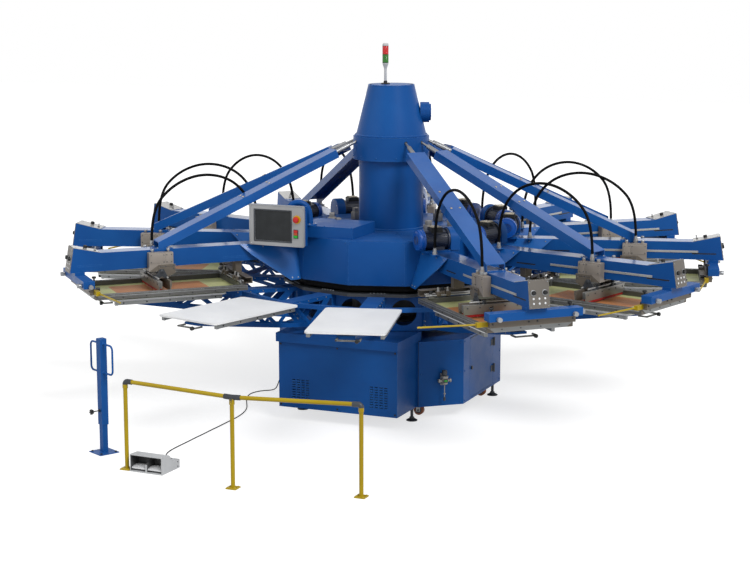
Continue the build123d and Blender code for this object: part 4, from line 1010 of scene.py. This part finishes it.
def frame_edges():
    """Raised lips along the edges of the screen frames, and the screws in their sides."""
    lips, screws = pieces(2)
    for side in SIDES:
        for t in (265.5 * side, 297 * side):
            lips.block(t - 1.5, t + 1.5, 1216, 2301, FRAME_TOP, 976.6, 0.3)
        lips.block(300 * side, 301.5 * side, 1216, 2288, 961, 966, 0.3)
        screws.bolts([(300 * side, -r, 951) for r in range(1290, 2280, 165)], (side, 0, 0), 5, 2.5)
    for r in (1217, 1249.5, 2267.5, 2300):
        lips.block(-264, 264, r - 1.5, r + 1.5, FRAME_TOP, 976.6, 0.3)
    lips.at_heads("frame_lips", ALLOY, "alloy_profile")
    screws.at_heads("frame_screws", BLACK, "dark_steel")


def motor_details():
    fins, cowls, grille, boxes, lids, screws = pieces(6)
    r, z = MOTOR_R, MOTOR_Z
    axle = Vector((-118, -r, z))
    for k in range(32):
        a = 2 * pi * (k + 0.5) / 32
        if sin(a) < -0.72 or sin(a) > 0.8:         # the foot and the terminal box are there
            continue
        radial = Vector((0, -cos(a), sin(a)))
        side = Vector((0, sin(a), cos(a))) * 1.3
        low, high = axle + radial * 64, axle + radial * 72
        fins.plate([low - side, low + side, high + side * 0.6, high - side * 0.6], (168, 0, 0))
    fins.lathe((46, -r, z), RIGHT, [(64, 0), (76, 0), (78, 3), (78, 13), (64, 13.6)], 32)
    fins.lathe((-125, -r, z), RIGHT, [(64, 0.4), (70, 0.4), (70, 8), (64, 8)], 32)
    fins.at_heads("motor_fins", NAVY, "dark_steel")
    cowls.lathe((-168, -r, z), RIGHT, [(0, 0), (40, 0), (60, 2), (70, 8), (72.5, 16), (72.5, 30), (71, 32),
                                       (71, 40), (72.5, 42), (72.5, 47), (66, 47)], 40)
    cowls.at_heads("fan_cowls", BLUE_FAN, "blue_paint")
    for radius in (12, 22, 32):
        grille.lathe((-168.1, -r, z), LEFT, hoop(radius, 2, 1.6), 24)
    grille.at_heads("fan_grilles", NAVY, "dark_steel")
    boxes.block(-72, 12, r - 32, r + 52, z + 52, z + 88, 4)
    boxes.turn((-30, -r - 52, z + 70), FRONT, [(12, 0), (12, 8), (8, 10), (8, 18)], 12)
    boxes.at_heads("terminal_boxes", BLACK, "grey_plastic")
    lids.block(-64, 4, r - 24, r + 44, z + 88, z + 95, 3)
    lids.at_heads("terminal_lids", BEIGE, "grey_plastic")
    screws.bolts([(t, -r + y, z + 95) for t, y in ((-57, -37), (-3, -37), (-57, 17), (-3, 17))], UP, 3.5, 2)
    for k in range(6):
        a = 2 * pi * k / 6 + 0.5
        screws.bolt((125, -r - 68 * cos(a), z + 68 * sin(a)), RIGHT, 5, 3.5)
        screws.bolt((59.5, -r - 70 * cos(a), z + 70 * sin(a)), LEFT, 4.5, 4)
    screws.at_heads("motor_screws", BOLT, "zinc_parts")


def hose_fittings():
    fixed, moving = pieces(2)
    fixed.lathe((HOSE_T, -HOSE_NEAR, 1238.3), UP,
                [(0, 0), (17.5, 0), (17.5, 15), (14.5, 17), (14, 24), (11, 44), (10.3, 46)], 6)
    fixed.at_heads("hose_glands_fixed", ZINC, "zinc_parts")
    moving.lathe((HOSE_T, -HOSE_OUT, 1215), UP,
                 [(0, 0), (17.5, 0), (17.5, 24), (14.5, 27), (14, 34), (11, 56), (10.3, 58)], 6)
    moving.done_each("hose_glands", CARRIAGES, ZINC, "zinc_parts")


def carriage_details():
    plates, knobs, dark = pieces(3)
    for side in SIDES:
        out = (side, 0, 0)
        for r0, r1 in ((1709, 1762), (1768, 1879)):
            plates.block(74.8 * side, 129.8 * side, r0, r1, 1213, 1217.5, 1.5)
        for r0, r1 in ((1712, 1762), (1768, 1876)):
            plates.block(130 * side, 133 * side, r0, r1, 1142, 1208, 1.2)
        dark.bolts([(133 * side, -r, z) for r in (1720, 1754, 1776, 1868) for z in (1200, 1150)], out, 4, 2.5)
        dark.bolts([(135 * side, -r, z)
                    for r, z in ((1706, 1100), (1706, 1120), (1800, 1118), (1782, 1118), (1764, 1118))],
                   out, 4.5, 3.5)
        for r in (1735, 1850):
            knobs.rod((100 * side, -r, 1215), UP, 7, 20)
            knobs.knob((100 * side, -r, 1227), UP, 13, 14, 18)
    knobs.turn((0, -PIVOT_R, 1085.5), DOWN, [(14, 0), (14, 6), (8, 8), (8, 30)], 14)
    plates.done_each("carriage_covers", CARRIAGES, WARM_GREY, "grey_paint")
    knobs.done_each("carriage_knobs", CARRIAGES, BRIGHT, "bright_metal")
    dark.done_each("carriage_screws", CARRIAGES, DARK, "dark_steel")


def tool_details():
    strips, rods, screws, ends = pieces(4)
    # The squeegee strips take the darker copy of the alloy, which is painted shade.
    strips.plate([(-250, -1839.5, 966), (250, -1839.5, 966), (250, -1850.6, 1031), (-250, -1850.6, 1031)],
                 (0, -3, 0.5), 0.6)
    strips.done_each("squeegee_strips", TOOLS, SHADED_STRIP, "alloy_profile")
    for t in range(-225, 226, 90):
        screws.bolt((t, -1850.2, 1012), (0, -1, 0.17), 5.5, 3.5)
        screws.bolt((t, -1751, 1020), REAR, 5, 3.5)
    for side in SIDES:
        out = (side, 0, 0)
        screws.turn((141.3 * side, -PIVOT_R, 1085), out, [(13, 0), (13, 4), (9, 6)], 14)
        screws.bolts([(141.3 * side, -r, 1040) for r in (1838, 1764)], out, 6, 4)
        screws.knob((110 * side, -1837, 1032.2), UP, 11, 16, 16)
        ends.block(254 * side, 257 * side, 1827, 1849, 986, 1031, 1)
        screws.block(92 * side, 110 * side, 1823, 1851, 1031, 1054, 1.5)
        screws.block(92 * side, 110 * side, 1746, 1772, 1031, 1050, 1.5)
    for r, z, reach in ((1837, 1046, 205), (1758, 1042, 160)):
        rods.turn((-reach, -r, z), RIGHT, [(5, 0), (6, 1), (6, 2 * reach - 1), (5, 2 * reach)], 14)
    rods.done_each("tool_rods", TOOLS, ALUMINIUM, "bright_metal")
    screws.done_each("tool_screws", TOOLS, DARK, "dark_steel")
    ends.done_each("squeegee_ends", TOOLS, FRAME_ALLOY, "black_rubber")


# ---- operator panel ----
def panel_details():
    bezel, screws, rim, cap, lamp, neck, neck_bolts = pieces(7)
    y, body = PANEL_FACE, "operator_panel"
    (x0, x1), (z0, z1) = SCREEN_X, SCREEN_Z
    for left, right, low, high in ((x0 - 9, x1 + 9, z1, z1 + 9), (x0 - 9, x1 + 9, z0 - 9, z0),
                                   (x0 - 9, x0, z0, z1), (x1, x1 + 9, z0, z1)):
        bezel.box(left, right, y - 3, y + 1, low, high, 1)
    bezel.done("screen_bezel", DARK, "dark_steel", body)
    screws.bolts([(x, y, z) for x in (-716, -308) for z in (1249, 1517)], FRONT, 5, 3)
    screws.bolts([(x, -790, z) for x in (-700, -324) for z in (1262, 1504)], REAR, 5, 3)
    screws.done("panel_screws", ZINC, "zinc_parts", body)
    for left, right, low, high in ((-715, -309, 1236, 1245), (-304, -295, 1250, 1516),
                                   (-715, -309, 1521, 1530), (-729, -720, 1250, 1516)):
        rim.box(left, right, y - 2.2, y + 0.5, low, high, 1)
    rim.done("panel_rim", BRIGHT, "bright_metal", body)
    cap.lathe((-352, y - 11.5, 1433), FRONT,
              [(0, 0), (19, 0), (19, 2), (21.5, 5), (21.5, 12), (18, 17), (8, 19.6), (0, 20)], 32)
    cap.done("estop_head", RED, "red_plastic", "estop")
    for name, key_body, z, material, slot in (("start_cap", "start", 1302, GREEN, "green_plastic"),
                                              ("stop_cap", "stop", 1340, RED, "red_plastic")):
        key = Piece()
        key.box(-373.4, -346.6, y - 11.5, y - 2, z + 0.6, z + 17.4, 1.6)
        key.done(name, material, slot, key_body)
    lamp.box(-374, -346, y - 9.2, y - 4.3, 1322, 1338, 1.4)
    lamp.done("panel_lamp", ORANGE, "grey_plastic", body)
    neck.turn((NECK_X, NECK_Y, 1372.3), UP, [(50, 0), (50, 8), (48, 10)], 36)
    neck.tube([(NECK_X, NECK_Y, 1378), (NECK_X, NECK_Y, 1408), (-343, -691, 1450), (-356, -696, 1500),
               (-388, -709, 1529), (-430, -727, 1533), (-466, -741, 1517), (-480, -746, 1480),
               (-480, -746, 1450)], 23)
    neck.box(-540, -420, -789.7, -717, 1382, 1456, 2)
    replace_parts(neck.done("panel_neck", BLUE, "blue_paint", body), "control_panel_arm")
    neck_bolts.bolts(circle(NECK_X, NECK_Y, 1382.3, 40, 4, 0.4), UP, 5, 4)
    neck_bolts.done("neck_bolts", ZINC, "zinc_parts", body)


# ---- finishes of the CAD pieces ----
STAND_X, STAND_Y = floor_spot(STAND_ANGLE, STAND_R)
STAND_KNOB_X, STAND_KNOB_Y = floor_spot(STAND_ANGLE, STAND_R + 98)
BY_PLACE = {
    # The inside of the cabinet is painted black: painted shade seen through the louvre slots.
    "front_cabinet": (BLUE, (BLACK, (-452.5, -974, 99), (452.5, -628, 568.5))),
    "base_housing": (BLUE, (DARK, (735.2, 190, 200), (760, 280, 470)),
                     (BLACK, (-760, -240, 115), (-732.1, -212, 145))),
    "service_door": (BLUE, (DARK, (732.2, 170, 200), (760, 280, 470)),
                     (DARK, (732.5, -260, 310), (760, -220, 350))),
    "casters": (ZINC, *((TREAD, (x - 40, y - 16.5, 5), (x + 40, y + 16.5, 84)) for x, y in CASTERS)),
    "hub_cover": (BLUE, (RUBBER, *between(0, 974.8))),
    "stack_light": (GREY, (GREEN_LENS, *between(2497.1, 2558.1)), (RED_LENS, *between(2558.2, 2619.1))),
    "carousel_hub": (BLUE, (DARK, *between(895.2, 920))),
    "safety_barrier": (YELLOW, *((DARK, (x - 75, y - 75, 562), (x + 75, y + 75, 600))
                                 for x, y in (floor_spot(angle, BARRIER_R) for angle in BARRIER_ANGLES))),
    "control_panel": (BLUE, (SCREEN_GLASS, (-683, -877.2, 1272), (-401, -870, 1487)),
                      (E_YELLOW, (-384, -887, 1402), (-320, -880.2, 1464)),
                      (DARK, (-378.5, -889, 1297), (-341.5, -880.2, 1363)),
                      (PANEL_GREY, (-730, -881, 1230), (-290, -864.9, 1535))),
    # the inside of the pedal housing is painted darker grey: painted shade
    "pedal_housing": (GREY, (SHADED_INSIDE, (-733.5, -2570, 9), (-500.5, -2478, 109.5)),
                      (SHADED_INSIDE, (-733.5, -2480, 9), (-500.5, -2472, 98))),
    "stand_post": (BLUE, (BLACK, (STAND_KNOB_X - 32, STAND_KNOB_Y - 32, 255),
                          (STAND_KNOB_X + 32, STAND_KNOB_Y + 32, 325)),
                   (ZINC, (STAND_X - 60, STAND_Y - 110, 284), (STAND_X + 10, STAND_Y - 27, 296))),
}
BY_STATION = {
    "print_arms": (BLUE, (ARM_BLUE, (-80, 700, 1231), (80, 2500, 1300))),
    "pallet_brackets": (ALLOY, (BLACK, (70, 2210.2, 860), (98, 2240, 900)),
                        (FRAME_ALLOY, (-60, 2140, 870), (110, 2212, 890))),
    "drive_motors": (NAVY, (BLUE_FAN, (-170, 700, 1240), (-124.9, 1000, 1400)),
                     (BLUE, (59.9, 700, 1240), (130, 1000, 1420)),
                     (BLUE, (-125, 700, 1232), (130, 1000, 1246.1))),
    "stay_beams": (STAY_BLUE, (ZINC, (-17.5, 250, 1800), (17.5, 447, 1960))),
    "frame_holders": (ALLOY, (BLUE, (-326, 2314.9, 1026.2), (326, 2396, 1110)),
                      (ALLOY, (-302, 2308.1, 940), (302, 2312.1, 977.5)),
                      (JAW, (-302, 2250, 940), (302, 2350, 1026.1)),
                      (JAW, (-290, 1170, 980), (290, 1230, 1120))),
    "head_controls": (END_GREY, (BLACK, (-34, 2286, 1266), (-6, 2314, 1300)),
                      (BLACK, (-58, 2423, 1180), (58, 2450, 1212)),
                      (HOOD_GREY, (-72, 2200, 1234), (72, 2399, 1300))),
}
CARRIAGE_FINISH = (WARM_GREY, (JAW, (-FAR, 1600, 1030), (-129.9, 1900, 1134)),
                   (JAW, (129.9, 1600, 1030), (FAR, 1900, 1134)))
# the squeegee holders take the darker, shaded copy of the alloy: painted shade
TOOL_FINISH = (SHADED_STRIP, (BLADE, (-252, 1820, 940), (252, 1845, 984.8)),
               (JAW, (-252, 1745, 940), (252, 1770, 1033)), (DARK, (-145, 1700, 1032.2), (145, 1900, 1110)))
WHOLE = {
    BLUE: ("column", "column_cap", "pallet_arms", "arm_gussets", "stand_base"), GREY: ("air_regulator",),
    DARK: ("leveling_feet", "lift_carrier", "drive_equipment"), WHITE: ("pallets",),
    ALLOY: ("carriage_rails",), BRIGHT: ("registration_knobs",), FRAME_ALLOY: ("screen_frames",),
    CLOTH: ("screen_meshes",), YELLOW: ("trip_rods",), RUBBER: ("carriage_hoses", "pedal_cord"),
    RED: ("estop_button", "stop_button"), GREEN: ("start_button",), PEDAL: ("pedal_left", "pedal_right"),
}


def paint_frame():
    for name, finishes in BY_PLACE.items():
        paint(name, finishes, by_station=False)
    for name, finishes in BY_STATION.items():
        paint(name, finishes)
    for number in range(1, len(HEAD_ANGLES) + 1):
        paint(f"carriage_{number:02d}", CARRIAGE_FINISH)
        paint(f"print_tool_{number:02d}", TOOL_FINISH)
    for material, names in WHOLE.items():
        for name in names:
            paint(name, (material,))


add_camera()
add_studio()
add_floor()
for draw in (pedal_cable, carriage_hoses, screens, base_details, regulator_details, barrier_details,
             stand_details, pedal_details, hub_details, column_details, lamp_details, valve_blocks,
             carousel_details, gussets, head_fasteners, arm_rails, crossbar_details, clamp_details,
             frame_edges, motor_details, hose_fittings, carriage_details, tool_details, panel_details,
             paint_frame):
    draw()
